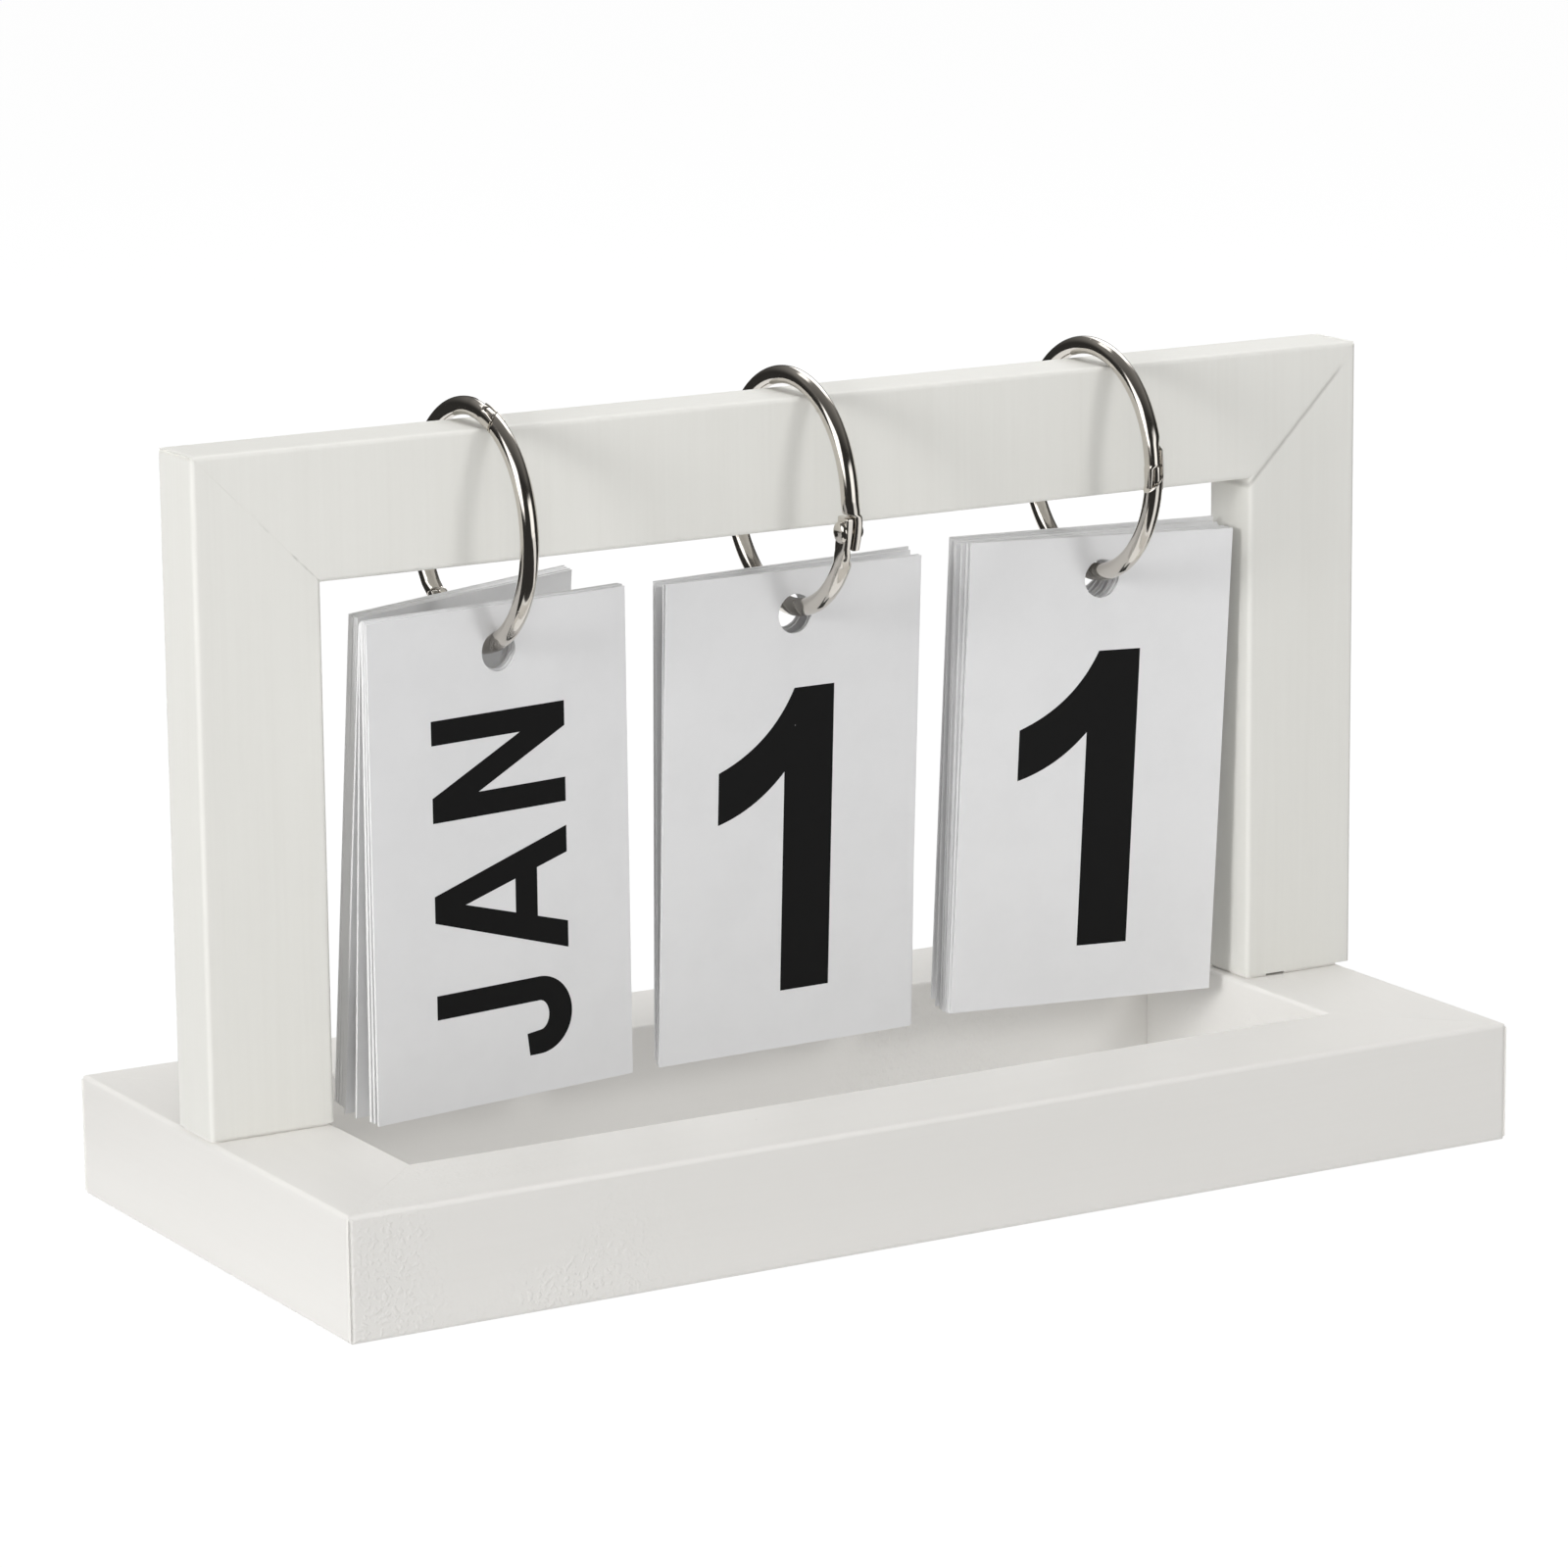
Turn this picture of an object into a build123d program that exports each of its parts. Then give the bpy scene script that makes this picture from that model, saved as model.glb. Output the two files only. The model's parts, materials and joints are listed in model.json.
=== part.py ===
from build123d import *

import os
from dataclasses import dataclass
from math import asin, cos, degrees, radians, sin, sqrt

# Perpetual desk calendar: a painted wooden stand, three book rings over its top rail
# and three packs of punched cards that hang from the rings.
# Millimetres, +Z up, +X along the stand to its right post, -Y towards the reader.
# The origin is on the table, under the middle of the whole object.

# Wooden stand
STOCK_WIDTH = 23.0
BASE_LENGTH = 230.0
BASE_DEPTH = 104.0
BASE_HEIGHT = 21.5
RIGHT_OVERHANG = 2.0
UPRIGHT_HEIGHT = 115.5
UPRIGHT_DEPTH = 13.0
UPRIGHT_SETBACK = 51.0
POST_GAP = 0.5
EDGE_RADIUS = 0.8
CORNER_RADIUS = 1.0
MITRE_GAP = 0.06

# Wooden dowels across the mitres
DOWEL_DIAMETER = 5.0
DOWEL_LENGTH = 16.0
DOWEL_CLEARANCE = 0.05

# Countersunk screws that hold the posts from below
SCREW_DIAMETER = 4.0
SCREW_HEAD_DIAMETER = 7.8
SCREW_HEAD_HEIGHT = 2.4
SCREW_RECESS = 0.6
SCREW_GRIP = 14.0
SCREW_TIP = 3.0
SCREW_CLEARANCE = 0.05

# Book rings
RING_INNER_DIAMETER = 37.4
WIRE_DIAMETER = 3.2
RING_REST_GAP = 0.35
LAP_LENGTH = 4.4
LAP_GAP = 0.12
EAR_DIAMETER = 5.4
EAR_GAP = 0.12
EAR_CLEARANCE = 0.2
EAR_CHAMFER = 0.3
RIVET_DIAMETER = 1.8
RIVET_HEAD_DIAMETER = 4.2
RIVET_HEAD_HEIGHT = 0.7
RIVET_HEAD_CROWN = 0.8
RIVET_FIT = 0.02
RIVET_RUNNING_CLEARANCE = 0.05

# Cards
CARD_SIDE_GAP = 8.0
CARD_FOOT_Z = 20.0
CARD_THICKNESS = 0.3
HOLE_PLAY = 3.8
HOLE_TO_TOP_EDGE = 7.8
HOLE_REST_GAP = 0.12
CARD_AIR_GAP = 0.05

# How far each ring has slid along the rail from the middle of its third of the opening
MONTH_RING_DRIFT = 0.8
TENS_RING_DRIFT = 0.8
UNITS_RING_DRIFT = 1.0

# How far in front of its ring's middle each front card hangs
MONTH_FRONT_REACH = 8.0
TENS_FRONT_REACH = 2.5
UNITS_FRONT_REACH = 2.8

# A cutter is this many times as long as what it cuts through
CUT_THROUGH = 3.0

# Values that follow from the sizes above
UPRIGHT_LENGTH = BASE_LENGTH + RIGHT_OVERHANG
TOP_Z = BASE_HEIGHT + POST_GAP + UPRIGHT_HEIGHT
POST_BOTTOM_Z = BASE_HEIGHT + POST_GAP
BASE_X = -RIGHT_OVERHANG / 2
UPRIGHT_Y = -BASE_DEPTH / 2 + UPRIGHT_SETBACK + UPRIGHT_DEPTH / 2
WIRE_R = WIRE_DIAMETER / 2
RING_R = RING_INNER_DIAMETER / 2 + WIRE_R
EAR_R = EAR_DIAMETER / 2
RIVET_R = RIVET_DIAMETER / 2
HOLE_R = (WIRE_DIAMETER + HOLE_PLAY) / 2

# A ring hangs over the two rounded top edges of the rail
RING_REACH = RING_INNER_DIAMETER / 2 - EDGE_RADIUS - RING_REST_GAP
RING_DROP = sqrt(RING_REACH**2 - (UPRIGHT_DEPTH / 2 - EDGE_RADIUS) ** 2)
RING_Y = UPRIGHT_Y
RING_Z = TOP_Z - EDGE_RADIUS - RING_DROP

# Three packs share the opening, and a card hangs from the lowest point of its ring
PACK_PITCH = (UPRIGHT_LENGTH - 2 * STOCK_WIDTH) / 3
CARD_WIDTH = PACK_PITCH - CARD_SIDE_GAP
CARD_TOP_Z = RING_Z - RING_R - (HOLE_R - WIRE_R - HOLE_REST_GAP) + HOLE_TO_TOP_EDGE
CARD_HEIGHT = CARD_TOP_Z - CARD_FOOT_Z


@dataclass
class Ring:
    """A book ring.

    place is the third of the opening that it hangs in, counted from the middle one,
    and drift is how far it has slid from the middle of that third. Snap and hinge are
    angles in degrees from the ring's top, counted towards the reader.
    """

    name: str
    place: int
    drift: float
    snap: float
    hinge: float

    @property
    def x(self):
        return self.place * PACK_PITCH + self.drift


@dataclass
class Pack:
    """Cards on one ring, front card first.

    Gaps are the air between a card and the one in front of it, at its left edge,
    its right edge and its foot, in steps of CARD_AIR_GAP. Rolls are small turns in
    the card's own plane, in degrees. Shifts are moves along the stand, and lifts are how
    far its neighbours hold a card up, both as shares of the play in the hole.
    """

    name: str
    ring: Ring
    front_reach: float
    front_yaw: float
    front_lean: float
    left_gaps: tuple
    right_gaps: tuple
    foot_gaps: tuple
    rolls: tuple
    shifts: tuple
    lifts: tuple


MONTH_RING = Ring("month", place=-1, drift=MONTH_RING_DRIFT, snap=16.0, hinge=218.0)
TENS_RING = Ring("tens", place=0, drift=TENS_RING_DRIFT, snap=282.0, hinge=102.0)
UNITS_RING = Ring("units", place=1, drift=UNITS_RING_DRIFT, snap=86.0, hinge=266.0)

PACKS = (
    Pack(
        "month",
        MONTH_RING,
        front_reach=MONTH_FRONT_REACH,
        front_yaw=8.8,
        front_lean=-0.35,
        left_gaps=(3, 3, 3, 12, 11, 100, 4, 3, 4, 3, 4),
        right_gaps=(6, 6, 6, 12, 11, 300, 4, 3, 4, 3, 4),
        foot_gaps=(9, 8, 10, 80, 74, 178, 5, 4, 5, 5, 8),
        rolls=(0.15, 0.3, 0.45, 0.25, 0.3, 0.1, -0.2, -0.4, -0.2, -0.5, -0.3, -0.4),
        shifts=(0.05, -0.05, -0.15, -0.1, -0.1, -0.05, 0.55, 0.5, 0.55, 0.45, 0.5, 0.45),
        lifts=(0.0, 0.35, 0.5, 0.55, 0.55, 0.55, 0.3, 0.3, 0.2, 0.1, 0.05, 0.0),
    ),
    Pack(
        "tens",
        TENS_RING,
        front_reach=TENS_FRONT_REACH,
        front_yaw=4.6,
        front_lean=1.5,
        left_gaps=(34, 57, 18),
        right_gaps=(30, 57, 18),
        foot_gaps=(24, 42, 40),
        rolls=(0.97, 0.6, 0.2, -0.2),
        shifts=(-0.45, -0.1, 0.05, 0.25),
        lifts=(0.3, 0.3, 0.25, 0.25),
    ),
    Pack(
        "units",
        UNITS_RING,
        front_reach=UNITS_FRONT_REACH,
        front_yaw=-3.0,
        front_lean=1.4,
        left_gaps=(9, 8, 10, 8, 12, 10, 8, 14, 12),
        right_gaps=(8, 7, 8, 8, 10, 8, 8, 10, 9),
        foot_gaps=(10, 8, 9, 10, 11, 10, 11, 10, 64),
        rolls=(2.2, 1.9, 2.0, 1.5, 1.7, 1.2, 1.4, 1.3, 1.4, 0.9),
        shifts=(0.25, 0.1, 0.3, 0.0, 0.2, -0.1, 0.05, 0.25, 0.1, 0.3),
        lifts=(0.25, 0.25, 0.3, 0.3, 0.25, 0.25, 0.3, 0.25, 0.3, 0.5),
    ),
)


def prism_xy(points, height):
    """Straight prism on the table plane from its outline in X and Y."""
    return extrude(make_face(Polyline(*points, close=True)), amount=height)


def prism_xz(points):
    """Straight prism through the depth of the upright from its outline in X and Z."""
    plane = Plane(origin=(0, UPRIGHT_Y + UPRIGHT_DEPTH / 2, 0), x_dir=(1, 0, 0), z_dir=(0, -1, 0))
    return extrude(plane * make_face(Polyline(*points, close=True)), amount=UPRIGHT_DEPTH)


def rounded_bar(plane, width, height, length):
    """Bar with rounded long edges, centred on a plane and running along its normal."""
    return extrude(plane * RectangleRounded(width, height, EDGE_RADIUS), amount=length / 2, both=True)


def screw_profile(clearance):
    """Half outline of a post screw from its head to its tip, grown by a clearance."""
    head_r = SCREW_HEAD_DIAMETER / 2 + clearance
    shank_r = SCREW_DIAMETER / 2 + clearance
    head_z = SCREW_RECESS - clearance
    shank_z = SCREW_RECESS + SCREW_HEAD_HEIGHT
    end_z = POST_BOTTOM_Z + SCREW_GRIP
    return Polyline(
        (0, 0, head_z),
        (head_r, 0, head_z),
        (shank_r, 0, shank_z),
        (shank_r, 0, end_z),
        (0, 0, end_z + SCREW_TIP + clearance),
        close=True,
    )


def screw_shape(x, clearance=0.0):
    """Countersunk screw, or the hole for it, that stands up through the base at x."""
    return Pos(x, UPRIGHT_Y, 0) * revolve(make_face(screw_profile(clearance)), Axis.Z)


def countersink(x):
    """Open mouth of the screw hole at the underside of the base."""
    radius = SCREW_HEAD_DIAMETER / 2 + SCREW_CLEARANCE
    return Pos(x, UPRIGHT_Y, SCREW_RECESS / 2) * Cylinder(radius, SCREW_RECESS)


POST_X = UPRIGHT_LENGTH / 2 - STOCK_WIDTH / 2
SCREW_X = {"left": -POST_X, "right": POST_X - RIGHT_OVERHANG / 2}


def base_corner_dowel(side_x, side_y, clearance=0.0):
    """Dowel, or the hole for it, across one mitre of the base."""
    centre = (
        BASE_X + side_x * (BASE_LENGTH - STOCK_WIDTH) / 2,
        side_y * (BASE_DEPTH - STOCK_WIDTH) / 2,
        BASE_HEIGHT / 2,
    )
    plane = Plane(origin=centre, z_dir=(side_x, -side_y, 0))
    return plane * Cylinder(DOWEL_DIAMETER / 2 + clearance, DOWEL_LENGTH + 2 * clearance)


def top_corner_dowel(side_x, clearance=0.0):
    """Dowel, or the hole for it, across one mitre of the upright."""
    plane = Plane(
        origin=(side_x * POST_X, UPRIGHT_Y, TOP_Z - STOCK_WIDTH / 2),
        z_dir=(side_x, 0, -1),
    )
    return plane * Cylinder(DOWEL_DIAMETER / 2 + clearance, DOWEL_LENGTH + 2 * clearance)


def base_rails():
    """Four mitred rails that make the open base."""
    half_x = BASE_LENGTH / 2
    half_y = BASE_DEPTH / 2
    inner_x = half_x - STOCK_WIDTH
    inner_y = half_y - STOCK_WIDTH
    outline = extrude(RectangleRounded(BASE_LENGTH, BASE_DEPTH, CORNER_RADIUS), amount=BASE_HEIGHT)
    rails = {}
    for name, side in (("front", -1), ("back", 1)):
        plane = Plane(
            origin=(0, side * (half_y - STOCK_WIDTH / 2), BASE_HEIGHT / 2),
            x_dir=(0, 1, 0),
            z_dir=(1, 0, 0),
        )
        bar = rounded_bar(plane, STOCK_WIDTH, BASE_HEIGHT, BASE_LENGTH)
        cut = prism_xy(
            (
                (-half_x + MITRE_GAP, side * half_y),
                (half_x - MITRE_GAP, side * half_y),
                (inner_x - MITRE_GAP, side * inner_y),
                (-inner_x + MITRE_GAP, side * inner_y),
            ),
            BASE_HEIGHT,
        )
        rails[name] = Pos(BASE_X, 0, 0) * (bar & cut & outline)
    for name, side in (("left", -1), ("right", 1)):
        plane = Plane(
            origin=(side * (half_x - STOCK_WIDTH / 2), 0, BASE_HEIGHT / 2),
            x_dir=(1, 0, 0),
            z_dir=(0, 1, 0),
        )
        bar = rounded_bar(plane, STOCK_WIDTH, BASE_HEIGHT, BASE_DEPTH)
        cut = prism_xy(
            (
                (side * half_x, -half_y),
                (side * half_x, half_y),
                (side * inner_x, inner_y),
                (side * inner_x, -inner_y),
            ),
            BASE_HEIGHT,
        )
        rail = Pos(BASE_X, 0, 0) * (bar & cut & outline)
        rail -= screw_shape(SCREW_X[name], SCREW_CLEARANCE)
        rails[name] = rail - countersink(SCREW_X[name])
    corners = {"front": ((-1, -1), (1, -1)), "back": ((-1, 1), (1, 1))}
    corners |= {"left": ((-1, -1), (-1, 1)), "right": ((1, -1), (1, 1))}
    for name, signs in corners.items():
        for side_x, side_y in signs:
            rails[name] -= base_corner_dowel(side_x, side_y, DOWEL_CLEARANCE)
    return {f"base_{name}_rail": rail for name, rail in rails.items()}


def upright_outline():
    """Outline of the upright with its two rounded upper corners."""
    plane = Plane(
        origin=(0, UPRIGHT_Y + UPRIGHT_DEPTH / 2, POST_BOTTOM_Z),
        x_dir=(1, 0, 0),
        z_dir=(0, -1, 0),
    )
    face = RectangleRounded(UPRIGHT_LENGTH, 2 * UPRIGHT_HEIGHT, CORNER_RADIUS)
    return extrude(plane * face, amount=UPRIGHT_DEPTH)


def upright_pieces():
    """Left post, right post and top rail, mitred at the two upper corners."""
    half = UPRIGHT_LENGTH / 2
    inner = half - STOCK_WIDTH
    inner_z = TOP_Z - STOCK_WIDTH
    outline = upright_outline()
    rail_plane = Plane(
        origin=(0, UPRIGHT_Y, TOP_Z - STOCK_WIDTH / 2),
        x_dir=(0, 1, 0),
        z_dir=(1, 0, 0),
    )
    rail = rounded_bar(rail_plane, UPRIGHT_DEPTH, STOCK_WIDTH, UPRIGHT_LENGTH)
    rail &= prism_xz(
        (
            (-half + MITRE_GAP, TOP_Z),
            (half - MITRE_GAP, TOP_Z),
            (inner - MITRE_GAP, inner_z),
            (-inner + MITRE_GAP, inner_z),
        )
    )
    pieces = {"top_rail": rail & outline}
    for name, side in (("left", -1), ("right", 1)):
        plane = Plane(origin=(side * POST_X, UPRIGHT_Y, POST_BOTTOM_Z + UPRIGHT_HEIGHT / 2))
        post = rounded_bar(plane, STOCK_WIDTH, UPRIGHT_DEPTH, UPRIGHT_HEIGHT)
        post &= prism_xz(
            (
                (side * half, POST_BOTTOM_Z),
                (side * half, TOP_Z),
                (side * inner, inner_z),
                (side * inner, POST_BOTTOM_Z),
            )
        )
        post = (post & outline) - screw_shape(SCREW_X[name], SCREW_CLEARANCE)
        pieces[f"{name}_post"] = post - top_corner_dowel(side, DOWEL_CLEARANCE)
        pieces["top_rail"] -= top_corner_dowel(side, DOWEL_CLEARANCE)
    return pieces


def stand_fasteners():
    """Screws under the posts and dowels across the mitres, grouped by kind."""
    base_dowels = [base_corner_dowel(sx, sy) for sx in (-1, 1) for sy in (-1, 1)]
    return {
        "post_screws": Compound(children=[screw_shape(x) for x in SCREW_X.values()]),
        "base_corner_dowels": Compound(children=base_dowels),
        "top_corner_dowels": Compound(children=[top_corner_dowel(side) for side in (-1, 1)]),
    }


def ring_axis(ring):
    """Axis that a ring is turned about, through its middle along the stand."""
    return Axis((ring.x, RING_Y, RING_Z), (1, 0, 0))


def ring_section_plane(ring, angle):
    """Plane across the wire at an angle: local X points outwards, local Y along +X."""
    turn = radians(angle)
    return Plane(
        origin=(ring.x, RING_Y, RING_Z),
        x_dir=(0, -sin(turn), cos(turn)),
        z_dir=(0, cos(turn), sin(turn)),
    )


def ring_point(ring, angle):
    """Point on the middle of the wire at an angle from the top."""
    turn = radians(angle)
    return (ring.x, RING_Y - RING_R * sin(turn), RING_Z + RING_R * cos(turn))


def ring_arc(ring, start, end):
    """Stretch of round wire between two angles."""
    section = ring_section_plane(ring, start) * (Pos(RING_R, 0) * Circle(WIRE_R))
    return revolve(section, ring_axis(ring), end - start)


def lap_cut(ring, start, end, side):
    """Space on one side of the wire's middle plane, between two angles, for the other lap."""
    offset = side * (WIRE_R - LAP_GAP / 2)
    block = Pos(RING_R, offset) * Rectangle(CUT_THROUGH * WIRE_DIAMETER, WIRE_DIAMETER)
    section = ring_section_plane(ring, start) * block
    return revolve(section, ring_axis(ring), end - start)


def knuckle_cylinder(ring, radius, near, far):
    """Cylinder about the hinge, between two distances along X from the ring's plane."""
    x, y, z = ring_point(ring, ring.hinge)
    plane = Plane(origin=(x + (near + far) / 2, y, z), z_dir=(1, 0, 0))
    return plane * Cylinder(radius, abs(far - near))


def half_ring(ring, start, end, side, rivet_clearance):
    """One half of a book ring between its snap and its hinge.

    side is the side of the ring's plane, -1 or 1 along X, that its ear and lap are on.
    """
    lap = degrees(LAP_LENGTH / 2 / RING_R)
    gap = degrees(LAP_GAP / RING_R)
    snap_first = (start - ring.snap) % 360 == 0
    snap = start if snap_first else end
    wire = ring_arc(ring, start - lap, end) if snap_first else ring_arc(ring, start, end + lap)
    before = 2 * gap if snap_first else gap
    after = gap if snap_first else 2 * gap
    wire -= lap_cut(ring, snap - lap - before, snap + lap + after, -side)
    reach = WIRE_DIAMETER
    wire -= knuckle_cylinder(ring, EAR_R + EAR_CLEARANCE, side * EAR_GAP / 2, -side * reach)
    ear = knuckle_cylinder(ring, EAR_R, side * EAR_GAP / 2, side * WIRE_R)
    rim = ear.edges().filter_by(GeomType.CIRCLE).sort_by(Axis.X)[-1 if side > 0 else 0]
    half = wire + chamfer(rim, EAR_CHAMFER)
    return half - knuckle_cylinder(ring, RIVET_R + rivet_clearance, -reach, reach)


def rivet(ring, side):
    """Rivet of a ring's hinge: its head on side sits on the ear that holds it."""
    clear = RIVET_RUNNING_CLEARANCE
    pin = knuckle_cylinder(ring, RIVET_R, side * WIRE_R, -side * (WIRE_R + clear))
    for head_side, seat in ((side, WIRE_R), (-side, WIRE_R + clear)):
        near = head_side * seat
        far = head_side * (seat + RIVET_HEAD_HEIGHT)
        head = knuckle_cylinder(ring, RIVET_HEAD_DIAMETER / 2, near, far)
        rim = head.edges().filter_by(GeomType.CIRCLE).sort_by(Axis.X)[-1 if head_side > 0 else 0]
        pin += fillet(rim, RIVET_HEAD_CROWN * RIVET_HEAD_HEIGHT)
    return pin


def book_ring(ring):
    """The half that carries the cards, the half that opens, and the rivet between them."""
    low, high = sorted((ring.snap, ring.hinge))
    carrying_side = -1
    return {
        f"{ring.name}_ring_carrier": half_ring(ring, low, high, carrying_side, RIVET_FIT),
        f"{ring.name}_ring_gate": half_ring(
            ring, high, low + 360, -carrying_side, RIVET_RUNNING_CLEARANCE
        ),
        f"{ring.name}_ring_rivet": rivet(ring, carrying_side),
    }


def blank_card():
    """Punched card, standing, with the middle of its hole at the origin."""
    middle_z = HOLE_TO_TOP_EDGE - CARD_HEIGHT / 2
    sheet = Pos(0, 0, middle_z) * Box(CARD_WIDTH, CARD_THICKNESS, CARD_HEIGHT)
    return sheet - Rot(90, 0, 0) * Cylinder(HOLE_R, CUT_THROUGH * CARD_THICKNESS)


def card_poses(pack):
    """Where the cards of a pack hang, front card first, as one location each."""
    foot_length = CARD_HEIGHT - HOLE_TO_TOP_EDGE
    half_spread = CARD_WIDTH / 2 * sin(radians(pack.front_yaw))
    left = -pack.front_reach - half_spread
    right = -pack.front_reach + half_spread
    foot = -pack.front_reach + foot_length * sin(radians(pack.front_lean))
    gaps = zip((None, *pack.left_gaps), (None, *pack.right_gaps), (None, *pack.foot_gaps))
    poses = []
    for gap, roll, shift, lift in zip(gaps, pack.rolls, pack.shifts, pack.lifts):
        if gap[0] is not None:
            left += CARD_THICKNESS + gap[0] * CARD_AIR_GAP
            right += CARD_THICKNESS + gap[1] * CARD_AIR_GAP
            foot += CARD_THICKNESS + gap[2] * CARD_AIR_GAP
        depth = (left + right) / 2
        yaw = degrees(asin((right - left) / CARD_WIDTH))
        lean = degrees(asin((foot - depth) / foot_length))
        slope = asin(depth / RING_R)
        wire_reach = WIRE_R / cos(slope) / cos(radians(yaw))
        play = HOLE_R - wire_reach - HOLE_REST_GAP
        hole_x = pack.ring.x + shift * play
        hole_z = RING_Z - RING_R * cos(slope) - play * (sqrt(1 - shift**2) - lift)
        place = Pos(hole_x, RING_Y + depth, hole_z)
        poses.append(place * Rot(0, 0, yaw) * Rot(lean, 0, 0) * Rot(0, roll, 0))
    return poses


def pack_cards(pack):
    """All cards of a pack, numbered from the front."""
    sheet = blank_card()
    return {
        f"{pack.name}_card_{number:02d}": pose * sheet
        for number, pose in enumerate(card_poses(pack), start=1)
    }


def build_all():
    """Every piece of the calendar by its name."""
    pieces = base_rails() | upright_pieces() | stand_fasteners()
    for pack in PACKS:
        pieces |= book_ring(pack.ring) | pack_cards(pack)
    return pieces


os.makedirs("parts", exist_ok=True)
for node, shape in build_all().items():
    export_step(shape, f"parts/{node}.step")
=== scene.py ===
"""Looks of a perpetual desk calendar: painted stand, nickel book rings and printed cards."""

import json
import logging
import math
from dataclasses import dataclass, replace
from enum import Enum

import bmesh
import bpy
from mathutils import Matrix, Vector
from mathutils.geometry import delaunay_2d_cdt

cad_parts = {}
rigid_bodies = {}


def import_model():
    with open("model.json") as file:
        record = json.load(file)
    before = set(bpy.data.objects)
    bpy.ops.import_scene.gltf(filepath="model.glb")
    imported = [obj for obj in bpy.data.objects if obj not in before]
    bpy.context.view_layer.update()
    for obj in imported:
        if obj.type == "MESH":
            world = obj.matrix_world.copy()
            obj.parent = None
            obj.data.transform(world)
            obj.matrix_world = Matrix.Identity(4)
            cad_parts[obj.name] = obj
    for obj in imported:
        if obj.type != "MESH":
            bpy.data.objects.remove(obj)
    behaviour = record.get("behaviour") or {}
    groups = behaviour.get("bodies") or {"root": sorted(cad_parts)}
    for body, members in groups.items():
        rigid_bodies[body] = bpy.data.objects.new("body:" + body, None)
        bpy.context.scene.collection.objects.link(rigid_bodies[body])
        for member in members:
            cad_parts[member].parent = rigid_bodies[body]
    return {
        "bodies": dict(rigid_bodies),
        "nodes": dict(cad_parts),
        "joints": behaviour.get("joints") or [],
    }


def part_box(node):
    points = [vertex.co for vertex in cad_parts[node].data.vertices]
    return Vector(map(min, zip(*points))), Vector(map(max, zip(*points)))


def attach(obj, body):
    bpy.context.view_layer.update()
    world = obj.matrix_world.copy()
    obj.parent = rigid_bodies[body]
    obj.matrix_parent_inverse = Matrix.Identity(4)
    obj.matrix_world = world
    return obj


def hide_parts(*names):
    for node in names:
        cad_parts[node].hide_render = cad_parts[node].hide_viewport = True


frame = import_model()

log = logging.getLogger("calendar")

MM = 0.001
WHITE = (1.0, 1.0, 1.0)
CREASE = math.radians(38.0)

Colour = tuple[float, float, float]
Triple = tuple[float, float, float]
Point = tuple[float, float]
Outline = list[Point]
Loop = list[bmesh.types.BMVert]
Socket = bpy.types.NodeSocket


def clear_start_objects() -> None:
    """Remove what Blender starts with, so that only the frame is left."""
    kept = {*frame["bodies"].values(), *frame["nodes"].values()}
    for thing in list(bpy.data.objects):
        if thing not in kept:
            bpy.data.objects.remove(thing)


def direction(azimuth: float, elevation: float) -> Vector:
    """Unit vector to a viewpoint, in degrees; azimuth 0 is the front and positive is to the right."""
    turn, rise = math.radians(azimuth), math.radians(elevation)
    return Vector((math.sin(turn) * math.cos(rise), -math.cos(turn) * math.cos(rise), math.sin(rise)))


def joint_place(name: str) -> Vector:
    """Point that a joint turns about, in the part's frame."""
    return Vector(next(j["pos_m"] for j in frame["joints"] if j["name"] == name))


# Meshes and objects

def linked(name: str, data: bpy.types.ID) -> bpy.types.Object:
    """Make an object of a mesh, lamp or camera and put it in the scene."""
    thing = bpy.data.objects.new(name, data)
    bpy.context.scene.collection.objects.link(thing)
    return thing


def plain_mesh(name: str, corners: list, faces: list, material: bpy.types.Material) -> bpy.types.Object:
    """Make an object from corners and faces."""
    mesh = bpy.data.meshes.new(name)
    mesh.from_pydata(corners, [], faces)
    mesh.materials.append(material)
    return linked(name, mesh)


def rectangle(half_x: float, half_y: float, height: float) -> list[Triple]:
    """Corners of a level rectangle round the origin."""
    return [(x * half_x, y * half_y, height) for x, y in ((-1, -1), (1, -1), (1, 1), (-1, 1))]


def faceted(name: str, solid: bmesh.types.BMesh, material: bpy.types.Material) -> bpy.types.Object:
    """Turn a bmesh, which is freed, into a flat-shaded object."""
    mesh = bpy.data.meshes.new(name)
    solid.to_mesh(mesh)
    solid.free()
    mesh.materials.append(material)
    return linked(name, mesh)


def finished(name: str, solid: bmesh.types.BMesh, material: bpy.types.Material) -> bpy.types.Object:
    """Turn a bmesh, which is freed, into a smooth-shaded object with sharp creases."""
    piece = faceted(name, solid, material)
    piece.data.shade_smooth()
    piece.data.set_sharp_from_angle(angle=CREASE)
    return piece


def skin(solid: bmesh.types.BMesh, loops: list[Loop], closed: bool = False, capped: bool = True) -> None:
    """Join loops of points into a tube.

    Args:
        solid: Mesh that holds the points.
        loops: Loops in order, all of one length.
        closed: Join the last loop to the first.
        capped: Close the ends of an open tube with flat faces.
    """
    pairs = list(zip(loops, loops[1:]))
    if closed:
        pairs.append((loops[-1], loops[0]))
    for first, second in pairs:
        for i in range(len(first)):
            k = (i + 1) % len(first)
            solid.faces.new((first[i], first[k], second[k], second[i]))
    if capped and not closed:
        solid.faces.new(loops[0])
        solid.faces.new(loops[-1])
    bmesh.ops.recalc_face_normals(solid, faces=solid.faces)


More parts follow.
